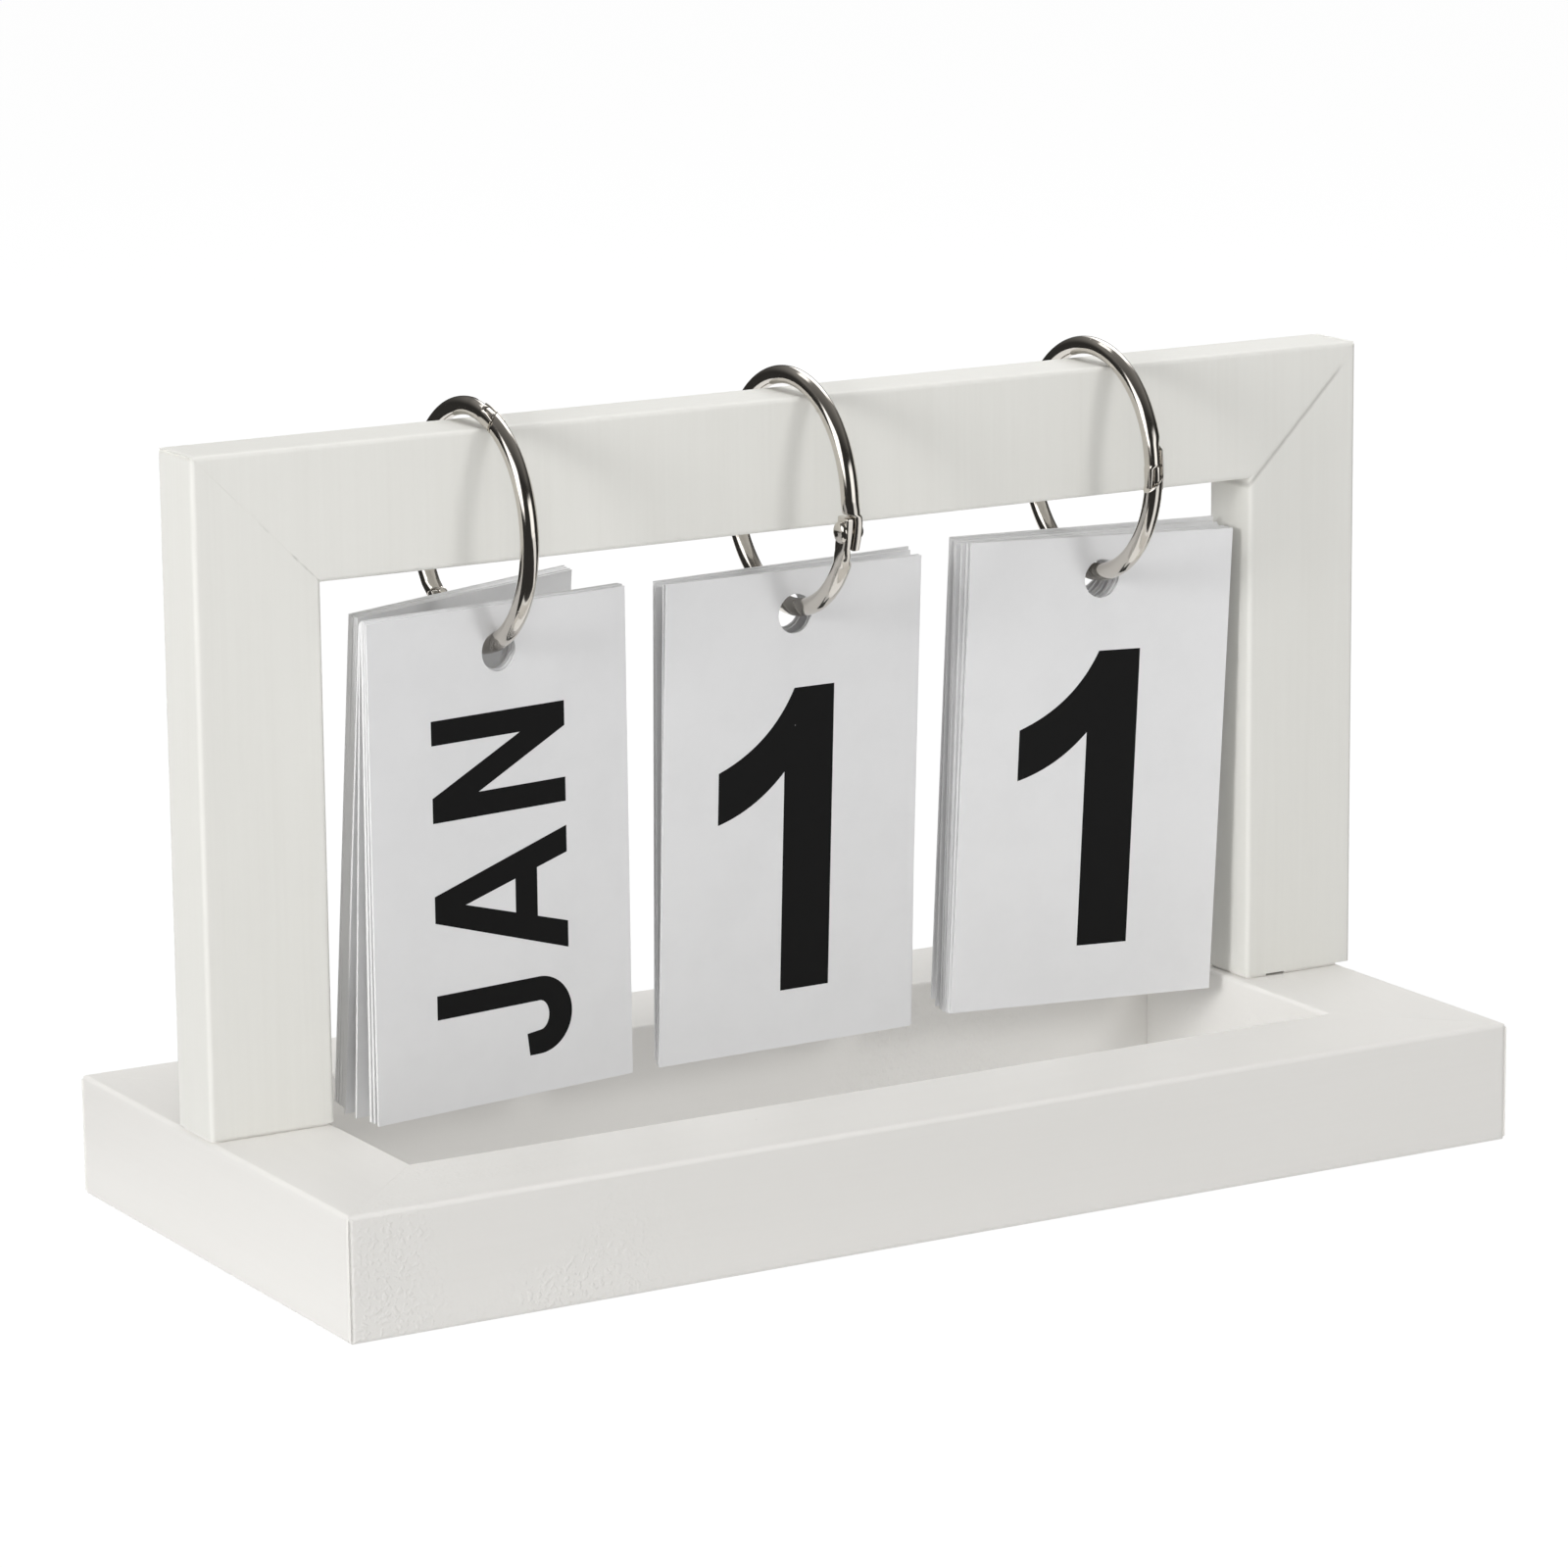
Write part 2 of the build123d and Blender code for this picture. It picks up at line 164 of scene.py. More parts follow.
def thicken(solid: bmesh.types.BMesh, depth: float) -> None:
    """Give flat faces a thickness along Z."""
    raised = bmesh.ops.extrude_face_region(solid, geom=list(solid.faces), use_keep_orig=True)
    moved = [v for v in raised["geom"] if isinstance(v, bmesh.types.BMVert)]
    bmesh.ops.translate(solid, verts=moved, vec=(0, 0, depth))
    bmesh.ops.recalc_face_normals(solid, faces=solid.faces)


def dress(node: str, material: bpy.types.Material) -> None:
    """Give a CAD node one material in all its slots."""
    slots = frame["nodes"][node].data.materials
    slots.clear()
    slots.append(material)
    log.info("dressed %s with %s", node, material.name)


# Shader tools

class NodeGraph:
    """A node tree with short calls to add nodes and to join their sockets."""

    def __init__(self, tree: bpy.types.NodeTree) -> None:
        """Keep the tree that the calls work on."""
        self.tree = tree

    @classmethod
    def fresh(cls, owner: bpy.types.Material | bpy.types.World) -> "NodeGraph":
        """Emptied tree of a material or a world."""
        owner.use_nodes = True
        owner.node_tree.nodes.clear()
        return cls(owner.node_tree)

    def add(self, kind: str, **settings: object) -> bpy.types.Node:
        """Add a node of Blender's type kind, with properties set on it."""
        node = self.tree.nodes.new(kind)
        for key, value in settings.items():
            setattr(node, key, value)
        return node

    def feed(self, target: Socket, value: object) -> None:
        """Link an output socket to the target, or set the target to a plain number, vector or colour."""
        if isinstance(value, Socket):
            self.tree.links.new(value, target)
        else:
            target.default_value = value

    def maths(self, operation: str, first: object, second: object = 0.0, third: object = 0.0) -> Socket:
        """Add a Math node of numbers or sockets and return its output."""
        node = self.add("ShaderNodeMath", operation=operation)
        for socket, value in zip(node.inputs, (first, second, third)):
            self.feed(socket, value)
        return node.outputs[0]

    def times(self, first: object, second: object) -> Socket:
        """Product of two numbers or sockets."""
        return self.maths("MULTIPLY", first, second)

    def line(self, value: object, slope: object, start: object) -> Socket:
        """A value times a slope, plus a start."""
        return self.maths("MULTIPLY_ADD", value, slope, start)

    def vector(self, operation: str, first: object, second: object) -> bpy.types.Node:
        """Add a Vector Math node of two inputs and return the node."""
        node = self.add("ShaderNodeVectorMath", operation=operation)
        self.feed(node.inputs[0], first)
        self.feed(node.inputs[1], second)
        return node

    def place(self) -> Socket:
        """Coordinates on the object."""
        return self.add("ShaderNodeTexCoord").outputs["Object"]

    def noise(self, place: object, scale: object, detail: float, rough: float = 0.5) -> Socket:
        """Add a noise texture of about 0 to 1, with scale features per metre and finer layers."""
        node = self.add("ShaderNodeTexNoise")
        for key, value in (("Vector", place), ("Scale", scale), ("Detail", detail), ("Roughness", rough)):
            self.feed(node.inputs[key], value)
        return node.outputs["Fac"]

    def ramp(self, value: object, low: object, high: object) -> Socket:
        """Smooth step of a value from 0 at low to 1 at high."""
        node = self.add("ShaderNodeMapRange", interpolation_type="SMOOTHSTEP")
        for key, given in (("Value", value), ("From Min", low), ("From Max", high)):
            self.feed(node.inputs[key], given)
        return node.outputs["Result"]

    def blend(self, share: object, first: object, second: object) -> Socket:
        """Mix two colours or sockets, by a share of 0 for the first to 1 for the second."""
        node = self.add("ShaderNodeMix", data_type="RGBA")
        self.feed(node.inputs["Factor"], share)
        for key, value in (("A", first), ("B", second)):
            socket = next(s for s in node.inputs if s.name == key and s.type == "RGBA")
            self.feed(socket, value if isinstance(value, Socket) else (*value, 1.0))
        return next(s for s in node.outputs if s.type == "RGBA")

    def bump(self, height: object, distance: float) -> Socket:
        """Turn a height, where 1 stands for a distance in metres, into a normal."""
        node = self.add("ShaderNodeBump")
        self.feed(node.inputs["Height"], height)
        node.inputs["Distance"].default_value = distance
        return node.outputs["Normal"]

    def effect(self, group: bpy.types.NodeTree, **values: object) -> Socket:
        """Place a shared effect, with _ for a space in its inputs' names, and return its output."""
        node = self.add("ShaderNodeGroup", node_tree=group)
        for key, value in values.items():
            self.feed(node.inputs[key.replace("_", " ")], value)
        return node.outputs[0]

    def glow(self, level: object, colour: Colour = WHITE) -> bpy.types.Node:
        """Add an Emission shader."""
        node = self.add("ShaderNodeEmission")
        node.inputs["Color"].default_value = (*colour, 1.0)
        self.feed(node.inputs["Strength"], level)
        return node

    def show(self, shader: bpy.types.Node, output: str = "ShaderNodeOutputMaterial") -> None:
        """Make a shader the tree's result."""
        self.feed(self.add(output).inputs["Surface"], shader.outputs[0])


class Effects:
    """Shared surface effects, each a shader node group that is made once."""

    def __init__(self) -> None:
        """Build every group."""
        self.brush_marks = self._brush_marks()
        self.orange_peel = self._orange_peel()
        self.specks = self._specks()
        self.seam = self._seam()

    def _group(self, name: str, inputs: dict[str, object], output: str) -> tuple:
        """Start a group.

        Args:
            name: The group's name.
            inputs: Default value of each input by name, a number or a vector.
            output: Name of its one output, a value.

        Returns:
            The group's graph, its input sockets by name, and its output socket.
        """
        tree = bpy.data.node_groups.new(name, "ShaderNodeTree")
        for key, value in inputs.items():
            kind = "NodeSocketFloat" if isinstance(value, float) else "NodeSocketVector"
            tree.interface.new_socket(key, in_out="INPUT", socket_type=kind).default_value = value
        tree.interface.new_socket(output, in_out="OUTPUT", socket_type="NodeSocketFloat")
        graph = NodeGraph(tree)
        sockets = graph.add("NodeGroupInput").outputs
        target = graph.add("NodeGroupOutput").inputs[output]
        return graph, {key: sockets[key] for key in inputs}, target

    def _brush_marks(self) -> bpy.types.NodeTree:
        """Long fine marks along one direction, as a height from 0 to 1."""
        inputs = {"Stretch": (1.0, 1.0, 1.0), "Fineness": 900.0}
        graph, given, target = self._group("brush_marks", inputs, "Height")
        along = graph.vector("MULTIPLY", graph.place(), given["Stretch"]).outputs[0]
        fine = graph.noise(along, given["Fineness"], 3.0, 0.6)
        broad = graph.noise(along, graph.times(given["Fineness"], 0.22), 2.0)
        graph.feed(target, graph.line(fine, 0.6, graph.times(broad, 0.4)))
        return graph.tree

    def _orange_peel(self) -> bpy.types.NodeTree:
        """Small blisters of paint in patches round a point, as a height from 0 to 1."""
        inputs = {
            "Fineness": 700.0, "Patch size": 0.05, "Cover": 0.5, "Middle": (0.0, 0.0, 0.0), "Reach": 1.0,
        }
        graph, given, target = self._group("orange_peel", inputs, "Height")
        place = graph.place()
        bubbles = graph.ramp(graph.noise(place, given["Fineness"], 1.0), 0.46, 0.72)
        patches = graph.noise(place, graph.maths("DIVIDE", 1.0, given["Patch size"]), 2.0)
        start = graph.maths("SUBTRACT", 0.72, graph.times(given["Cover"], 0.44))
        cover = graph.ramp(patches, start, graph.maths("ADD", start, 0.18))
        away = graph.vector("DISTANCE", place, given["Middle"]).outputs["Value"]
        near = graph.ramp(away, given["Reach"], graph.times(given["Reach"], 0.3))
        graph.feed(target, graph.times(bubbles, graph.times(cover, near)))
        return graph.tree

    def _specks(self) -> bpy.types.NodeTree:
        """Scattered small dots, as a mask from 0 to 1."""
        inputs = {"Cells": 300.0, "Share": 0.1, "Radius": 0.12}
        graph, given, target = self._group("specks", inputs, "Mask")
        cells = graph.add("ShaderNodeTexVoronoi")
        graph.feed(cells.inputs["Vector"], graph.place())
        graph.feed(cells.inputs["Scale"], given["Cells"])
        draw = graph.add("ShaderNodeSeparateColor")
        graph.feed(draw.inputs["Color"], cells.outputs["Color"])
        chosen = graph.maths("LESS_THAN", draw.outputs["Red"], given["Share"])
        radius = graph.times(given["Radius"], graph.maths("ADD", draw.outputs["Green"], 0.4))
        edge = graph.ramp(cells.outputs["Distance"], graph.times(radius, 0.6), radius)
        graph.feed(target, graph.times(graph.maths("SUBTRACT", 1.0, edge), chosen))
        return graph.tree

    def _seam(self) -> bpy.types.NodeTree:
        """Broken hairline where two pieces are glued, as a mask from 0 to 1."""
        inputs = {
            "Point": (0.0, 0.0, 0.0), "Across": (1.0, 0.0, 0.0), "Along": (0.0, 0.0, 1.0),
            "Start": 0.0, "Width": 0.0003, "Whole": 0.5,
        }
        graph, given, target = self._group("glue_seam", inputs, "Mask")
        place = graph.place()
        offset = graph.vector("SUBTRACT", place, given["Point"]).outputs[0]
        waver = graph.line(graph.noise(place, 220.0, 2.0), 0.3 * MM, -0.15 * MM)
        distance = graph.vector("DOT_PRODUCT", offset, given["Across"]).outputs["Value"]
        distance = graph.maths("ABSOLUTE", graph.maths("ADD", distance, waver))
        shade = graph.maths("SUBTRACT", 1.0, graph.ramp(distance, 0.0, given["Width"]))
        gap = graph.maths("SUBTRACT", 0.75, graph.times(given["Whole"], 0.5))
        broken = graph.ramp(graph.noise(place, 160.0, 3.0), gap, graph.maths("ADD", gap, 0.2))
        run = graph.vector("DOT_PRODUCT", offset, given["Along"]).outputs["Value"]
        begun = graph.ramp(run, graph.times(given["Start"], 0.5), given["Start"])
        graph.feed(target, graph.times(shade, graph.times(broken, begun)))
        return graph.tree


# Finishes

class GrainAxis(Enum):
    """Direction that a wooden piece was brushed and cut along, as the stretch of its marks."""

    X = (0.02, 1.0, 1.0)
    Y = (1.0, 0.02, 1.0)
    Z = (1.0, 1.0, 0.02)


@dataclass(frozen=True)
class Seam:
    """A glued mitre that shows on a face.

    It runs from a point, in the direction along, and shows from the distance start on. width is
    half the width of its shade, whole is how unbroken it is and depth is how dark it gets.
    """

    point: Triple
    across: Triple
    along: Triple
    start: float
    width: float
    whole: float
    depth: float


@dataclass(frozen=True)
class Peel:
    """Where the paint has blisters: the share of a region round a point, and how far the region reaches."""

    share: float
    middle: Triple = (0.0, 0.0, 0.0)
    reach: float = 1.0


@dataclass(frozen=True)
class Finish:
    """A surface whose colour, roughness and height change over it.

    roughness is its least roughness and spread is what its texture adds to that. relief is the
    depth that a height of 1 stands for.
    """

    roughness: float = 0.5
    spread: float = 0.1
    relief: float = 0.02 * MM
    metallic: float = 0.0
    specular: float = 0.5

    def material(self, name: str, effects: Effects) -> bpy.types.Material:
        """Make the finish with one Principled shader.

        Args:
            name: Name of the material.
            effects: Shared effects.

        Returns:
            The material.
        """
        material = bpy.data.materials.new(name)
        graph = NodeGraph.fresh(material)
        shader = graph.add("ShaderNodeBsdfPrincipled")
        colour, texture, height = self.coat(graph, effects)
        values = {
            "Base Color": colour if isinstance(colour, Socket) else (*colour, 1.0),
            "Metallic": self.metallic,
            "Specular IOR Level": self.specular,
            "Roughness": graph.line(texture, self.spread, self.roughness),
            "Normal": graph.bump(height, self.relief),
        }
        for key, value in values.items():
            graph.feed(shader.inputs[key], value)
        graph.show(shader)
        return material

    def coat(self, graph: NodeGraph, effects: Effects) -> tuple:
        """The colour, the texture of the roughness and the height; each finish has its own."""
        raise NotImplementedError


@dataclass(frozen=True)
class WhitePaint(Finish):
    """Satin white paint on wood, with brush marks, blisters, specks, dents and seams."""

    roughness: float = 0.4
    spread: float = 0.12
    relief: float = 0.1 * MM
    specular: float = 0.4
    colour: Colour = (0.865, 0.858, 0.815)
    shade: Colour = (0.80, 0.79, 0.745)
    speck: Colour = (0.32, 0.30, 0.27)
    crack: Colour = (0.34, 0.33, 0.30)
    brush_tone: float = 0.3
    brush_depth: float = 0.45
    speck_tone: float = 0.35
    blister_height: float = 0.75
    dent_depth: float = 0.6
    grain: GrainAxis = GrainAxis.X
    peel: Peel = Peel(0.15)
    seams: tuple[Seam, ...] = ()

    def coat(self, graph: NodeGraph, effects: Effects) -> tuple:
        """Marks, blisters and dents in the height; marks, specks and seams in the colour."""
        peel = self.peel
        marks = graph.effect(effects.brush_marks, Stretch=self.grain.value, Fineness=1500.0)
        blisters = graph.effect(
            effects.orange_peel, Fineness=1100.0, Patch_size=0.03, Cover=peel.share, Middle=peel.middle,
            Reach=peel.reach,
        )
        specks = graph.effect(effects.specks, Cells=160.0, Share=0.05, Radius=0.05)
        dents = graph.effect(effects.specks, Cells=110.0, Share=0.04, Radius=0.035)
        tone = graph.blend(graph.ramp(marks, 0.35, 0.75), self.colour, self.shade)
        tone = graph.blend(self.brush_tone, self.colour, tone)
        tone = graph.blend(graph.times(specks, self.speck_tone), tone, self.speck)
        height = graph.line(marks, self.brush_depth, graph.times(blisters, self.blister_height))
        height = graph.maths("SUBTRACT", height, graph.times(dents, self.dent_depth))
        for seam in self.seams:
            mask = graph.effect(
                effects.seam, Point=seam.point, Across=seam.across, Along=seam.along, Start=seam.start,
                Width=seam.width, Whole=seam.whole,
            )
            tone = graph.blend(graph.times(mask, seam.depth), tone, self.crack)
            height = graph.maths("SUBTRACT", height, mask)
        return tone, marks, height


@dataclass(frozen=True)
class Nickel(Finish):
    """Polished nickel plate with fine wear."""

    roughness: float = 0.07
    spread: float = 0.08
    metallic: float = 1.0
    colour: Colour = (0.67, 0.635, 0.585)

    def coat(self, graph: NodeGraph, effects: Effects) -> tuple:
        """Haze in the polish, ripples and pits in the height."""
        place = graph.place()
        haze = graph.noise(place, 420.0, 3.0, 0.6)
        pits = graph.effect(effects.specks, Cells=900.0, Share=0.04, Radius=0.16)
        return self.colour, haze, graph.maths("SUBTRACT", graph.noise(place, 260.0, 2.0), pits)


@dataclass(frozen=True)
class CardStock(Finish):
    """Smooth white card with a faint mottle and a little dust."""

    roughness: float = 0.42
    spread: float = 0.12
    relief: float = 0.006 * MM
    specular: float = 0.35
    colour: Colour = (0.88, 0.88, 0.885)
    mottle: Colour = (0.86, 0.86, 0.865)
    dust: Colour = (0.42, 0.42, 0.42)
    dust_tone: float = 0.4

    def coat(self, graph: NodeGraph, effects: Effects) -> tuple:
        """Clouds and dust in the colour, fibres in the height."""
        place = graph.place()
        cloud = graph.noise(place, 90.0, 4.0, 0.6)
        fibre = graph.noise(place, 2600.0, 2.0)
        dust = graph.effect(effects.specks, Cells=170.0, Share=0.03, Radius=0.035)
        tone = graph.blend(graph.ramp(cloud, 0.35, 0.7), self.colour, self.mottle)
        return graph.blend(graph.times(dust, self.dust_tone), tone, self.dust), fibre, fibre


@dataclass(frozen=True)
class Ink(Finish):
    """Black print with a slight sheen and pale dust."""

    roughness: float = 0.36
    relief: float = 0.004 * MM
    specular: float = 0.05
    colour: Colour = (0.011, 0.011, 0.011)
    dust: Colour = (0.30, 0.30, 0.30)
    dust_tone: float = 0.6

    def coat(self, graph: NodeGraph, effects: Effects) -> tuple:
        """Dust in the colour, an uneven cover in the height."""
        cover = graph.noise(graph.place(), 1400.0, 2.0)
        dust = graph.effect(effects.specks, Cells=240.0, Share=0.07, Radius=0.035)
        return graph.blend(graph.times(dust, self.dust_tone), self.colour, self.dust), cover, cover


@dataclass(frozen=True)
class BareWood(Finish):
    """Plain beech of the dowels."""

    spread: float = 0.2
    relief: float = 0.05 * MM
    light: Colour = (0.62, 0.45, 0.28)
    dark: Colour = (0.44, 0.29, 0.16)

    def coat(self, graph: NodeGraph, effects: Effects) -> tuple:
        """Grain along the dowel."""
        grain = graph.effect(effects.brush_marks, Stretch=GrainAxis.X.value, Fineness=800.0)
        return graph.blend(graph.ramp(grain, 0.35, 0.7), self.light, self.dark), grain, grain


@dataclass(frozen=True)
class BlackSteel(Finish):
    """Blackened steel of the screws."""

    roughness: float = 0.3
    spread: float = 0.25
    metallic: float = 0.8
    colour: Colour = (0.055, 0.052, 0.05)
    worn: Colour = (0.20, 0.19, 0.18)
    wear: float = 0.7

    def coat(self, graph: NodeGraph, effects: Effects) -> tuple:
        """Worn nicks in the colour, clouds in the height."""
        cloud = graph.noise(graph.place(), 600.0, 3.0)
        nicks = graph.effect(effects.specks, Cells=700.0, Share=0.15, Radius=0.2)
        return graph.blend(graph.times(nicks, self.wear), self.colour, self.worn), cloud, cloud


# Print on the cards

class Strokes:
    """Flat outlines that together make one mark, in millimetres; they may overlap."""

    ARC_STEPS = 40
    CURVE_STEPS = 20

    def __init__(self) -> None:
        """Start with no outline."""
        self.outlines: list[Outline] = []

    def shape(self, *points: Point) -> None:
        """Add a straight-sided outline, kept counter-clockwise whichever way its points run."""
        area = sum(a[0] * b[1] - b[0] * a[1] for a, b in zip(points, (*points[1:], points[0])))
        self.outlines.append(list(points) if area > 0 else list(reversed(points)))

    def mirrored(self, middle: float, *points: Point) -> None:
        """Add an outline on each side of an upright line, with X counted from the line."""
        for side in (-1, 1):
            self.shape(*((middle + side * x, y) for x, y in points))

    def bar(self, left: float, bottom: float, right: float, top: float) -> None:
        """Add an upright rectangle."""
        self.shape((left, bottom), (right, bottom), (right, top), (left, top))

    def bow(self, centre: Point, outer: Point, inner: Point, start: float, end: float) -> None:
        """Add a bent stroke between two ellipses of one centre.

        Args:
            centre: Middle of both ellipses.
            outer: Half width and half height of the outer one.
            inner: Half width and half height of the inner one.
            start: First angle in degrees, from +X towards +Y.
            end: Last angle in degrees.
        """
        turns = [math.radians(start + (end - start) * i / self.ARC_STEPS) for i in range(self.ARC_STEPS + 1)]
        far, near = (
            [(centre[0] + across * math.cos(t), centre[1] + rise * math.sin(t)) for t in turns]
            for across, rise in (outer, inner)
        )
        for i in range(self.ARC_STEPS):
            self.shape(far[i], far[i + 1], near[i + 1], near[i])

    def curve(self, start: Point, pull: Point, end: Point) -> Outline:
        """Points of a quadratic curve with one control point, from start to end."""
        points = []
        for i in range(self.CURVE_STEPS + 1):
            t = i / self.CURVE_STEPS
            weights = ((1 - t) ** 2, 2 * t * (1 - t), t * t)
            points.append(tuple(sum(w * p[k] for w, p in zip(weights, (start, pull, end))) for k in (0, 1)))
        return points

    def turned(self, width: float, height: float) -> "Strokes":
        """This mark turned by half a turn in a box of the given size."""
        other = Strokes()
        other.outlines = [[(width - x, height - y) for x, y in outline] for outline in self.outlines]
        return other

    def bounds(self) -> tuple[float, float]:
        """Lowest and highest X of the mark."""
        across = [x for outline in self.outlines for x, _ in outline]
        return min(across), max(across)


@dataclass(frozen=True)
class MonthLetters:
    """Plain bold capitals for the month names, drawn from bars and bows."""

    cap: float = 27.9
    stem: float = 4.2
    arm: float = 4.5
    over: float = 0.5
    gap: float = 4.2

    def word(self, text: str) -> Strokes:
        """Set a word from its letters, starting at X 0 on the baseline."""
        word = Strokes()
        pen_x = 0.0
        for character in text:
            letter = Strokes()
            getattr(self, f"_{character.lower()}")(letter)
            low, high = letter.bounds()
            for outline in letter.outlines:
                word.outlines.append([(x - low + pen_x, y) for x, y in outline])
            pen_x += high - low + self.gap
        return word

    def _stem(self, pen: Strokes, left: float = 0.0) -> None:
        """Upright of full height."""
        pen.bar(left, 0.0, left + self.stem, self.cap)

    def _bowl(self, pen: Strokes, bottom: float, top: float, reach: float) -> None:
        """Half-round bowl on a stem at X 0, between two heights and out to a reach."""
        half = (top - bottom) / 2
        turn_x = max(self.stem, reach - 1.1 * half)
        round_x = reach - turn_x
        for low in (bottom, top - self.arm):
            pen.bar(self.stem / 2, low, turn_x, low + self.arm)
        pen.bow((turn_x, bottom + half), (round_x, half), (round_x - self.stem, half - self.arm), -90, 90)

    def _round(self, pen: Strokes, start: float, end: float, width: float) -> None:
        """Tall round stroke between two angles."""
        middle = (width / 2, self.cap / 2)
        outer = (width / 2, self.cap / 2 + self.over)
        pen.bow(middle, outer, (outer[0] - self.stem - 0.2, outer[1] - self.arm - 0.1), start, end)

    def _a(self, pen: Strokes) -> None:
        """Two leaning legs and a crossbar."""
        middle, foot, head, low, high, peak = 10.7, 4.65, 4.6, 6.4, 11.0, 21.5
        inner = middle - foot
        pen.mirrored(middle, (middle, 0.0), (head / 2, self.cap), (0.0, self.cap), (0.0, peak), (inner, 0.0))
        slope = inner / peak
        wide, slim = (peak - low) * slope, (peak - high) * slope
        pen.shape((middle - wide, low), (middle + wide, low), (middle + slim, high), (middle - slim, high))

    def _b(self, pen: Strokes) -> None:
        """Stem with two bowls."""
        self._stem(pen)
        self._bowl(pen, 12.2, self.cap, 17.6)
        self._bowl(pen, 0.0, 16.5, 19.0)

    def _c(self, pen: Strokes) -> None:
        """Round stroke, open on the right."""
        self._round(pen, 38, 322, 21.5)

    def _d(self, pen: Strokes) -> None:
        """Stem with one tall bowl."""
        self._stem(pen)
        self._bowl(pen, 0.0, self.cap, 20.0)

    def _e(self, pen: Strokes) -> None:
        """Stem with three arms."""
        self._f(pen)
        pen.bar(0.0, 0.0, 17.2, self.arm)

    def _f(self, pen: Strokes) -> None:
        """Stem with two arms."""
        self._stem(pen)
        pen.bar(0.0, self.cap - self.arm, 16.8, self.cap)
        pen.bar(0.0, 11.8, 15.4, 11.8 + self.arm)

    def _g(self, pen: Strokes) -> None:
        """Round stroke with a shelf on the right."""
        right, shelf = 21.6, 14.9
        self._round(pen, 38, 330, 22.5)
        pen.bar(12.0, 10.4, right, shelf)
        pen.bar(right - self.stem, 4.4, right, shelf)

    def _j(self, pen: Strokes) -> None:
        """Stem with a hook to the left."""
        hook_x, hook_y, right, inner = 6.8, 6.4, 13.6, 2.6
        pen.bar(right - self.stem, hook_y, right, self.cap)
        pen.bow((hook_x, hook_y), (hook_x, hook_y + self.over), (inner, 2.0), 180, 360)
        pen.shape((0.0, hook_y), (hook_x - inner, hook_y), (3.9, 9.1), (0.0, 8.6))

    def _l(self, pen: Strokes) -> None:
        """Stem with a foot."""
        self._stem(pen)
        pen.bar(0.0, 0.0, 16.0, self.arm)

    def _m(self, pen: Strokes) -> None:
        """Two stems with a deep notch between them."""
        middle, notch, shoulder, foot = 10.8, 8.4, 6.0, 2.0
        self._stem(pen)
        self._stem(pen, 2 * middle - self.stem)
        pen.mirrored(
            middle, (middle, self.cap), (middle - shoulder, self.cap), (0.0, notch), (0.0, 0.0), (foot, 0.0),
            (middle - self.stem, self.cap - 7.0),
        )

    def _n(self, pen: Strokes) -> None:
        """Two stems with a diagonal."""
        width, lap = 17.5, 0.1
        self._stem(pen)
        self._stem(pen, width - self.stem)
        pen.shape(
            (0.0, self.cap), (self.stem + lap, self.cap), (width - self.stem, 9.4), (width, 0.0),
            (width - self.stem - lap, 0.0), (self.stem, self.cap - 9.6),
        )

    def _o(self, pen: Strokes) -> None:
        """Whole round stroke."""
        self._round(pen, 0, 360, 23.0)

    def _p(self, pen: Strokes) -> None:
        """Stem with a bowl at the top."""
        self._stem(pen)
        self._bowl(pen, 10.2, self.cap, 18.2)

    def _r(self, pen: Strokes) -> None:
        """Stem with a bowl and a leg."""
        self._stem(pen)
        self._bowl(pen, 11.6, self.cap, 18.4)
        pen.shape((8.2, 13.0), (12.4, 14.2), (20.4, 0.0), (15.2, 0.0))

    def _s(self, pen: Strokes) -> None:
        """Two bows that join in the middle."""
        middle_x, waist = 9.6, self.cap / 2
        upper_y = (self.cap + self.over + waist - self.arm / 2) / 2
        lower_y = (-self.over + waist + self.arm / 2) / 2
        upper, lower = (8.8, self.cap + self.over - upper_y), (9.6, lower_y + self.over)
        for middle_y, outer, start, end in ((upper_y, upper, 22, 270), (lower_y, lower, -160, 90)):
            pen.bow((middle_x, middle_y), outer, (outer[0] - self.stem, outer[1] - self.arm), start, end)

    def _t(self, pen: Strokes) -> None:
        """Stem under a bar."""
        width = 18.6
        pen.bar(0.0, self.cap - self.arm, width, self.cap)
        self._stem(pen, (width - self.stem) / 2)

    def _u(self, pen: Strokes) -> None:
        """Two stems joined by a round foot."""
        width, turn_y = 17.8, 8.6
        half = width / 2
        pen.bar(0.0, turn_y, self.stem, self.cap)
        pen.bar(width - self.stem, turn_y, width, self.cap)
        pen.bow((half, turn_y), (half, turn_y + self.over), (half - self.stem, turn_y - self.arm), 180, 360)

    def _v(self, pen: Strokes) -> None:
        """Two leaning strokes that meet at the foot."""
        middle, head, foot, notch = 10.5, 4.7, 4.4, 6.6
        outer, inner = (middle, self.cap), (middle - head, self.cap)
        pen.mirrored(middle, outer, (foot / 2, 0.0), (0.0, 0.0), (0.0, notch), inner)

    def _y(self, pen: Strokes) -> None:
        """Two leaning arms on a short stem."""
        middle, head, fork = 10.5, 5.0, 11.2
        half = self.stem / 2
        pen.bar(middle - half, 0.0, middle + half, fork + 1.0)
        outer, inner = (middle, self.cap), (middle - head, self.cap)
        pen.mirrored(middle, outer, (half, fork), (0.0, fork), (0.0, fork + 4.6), inner)


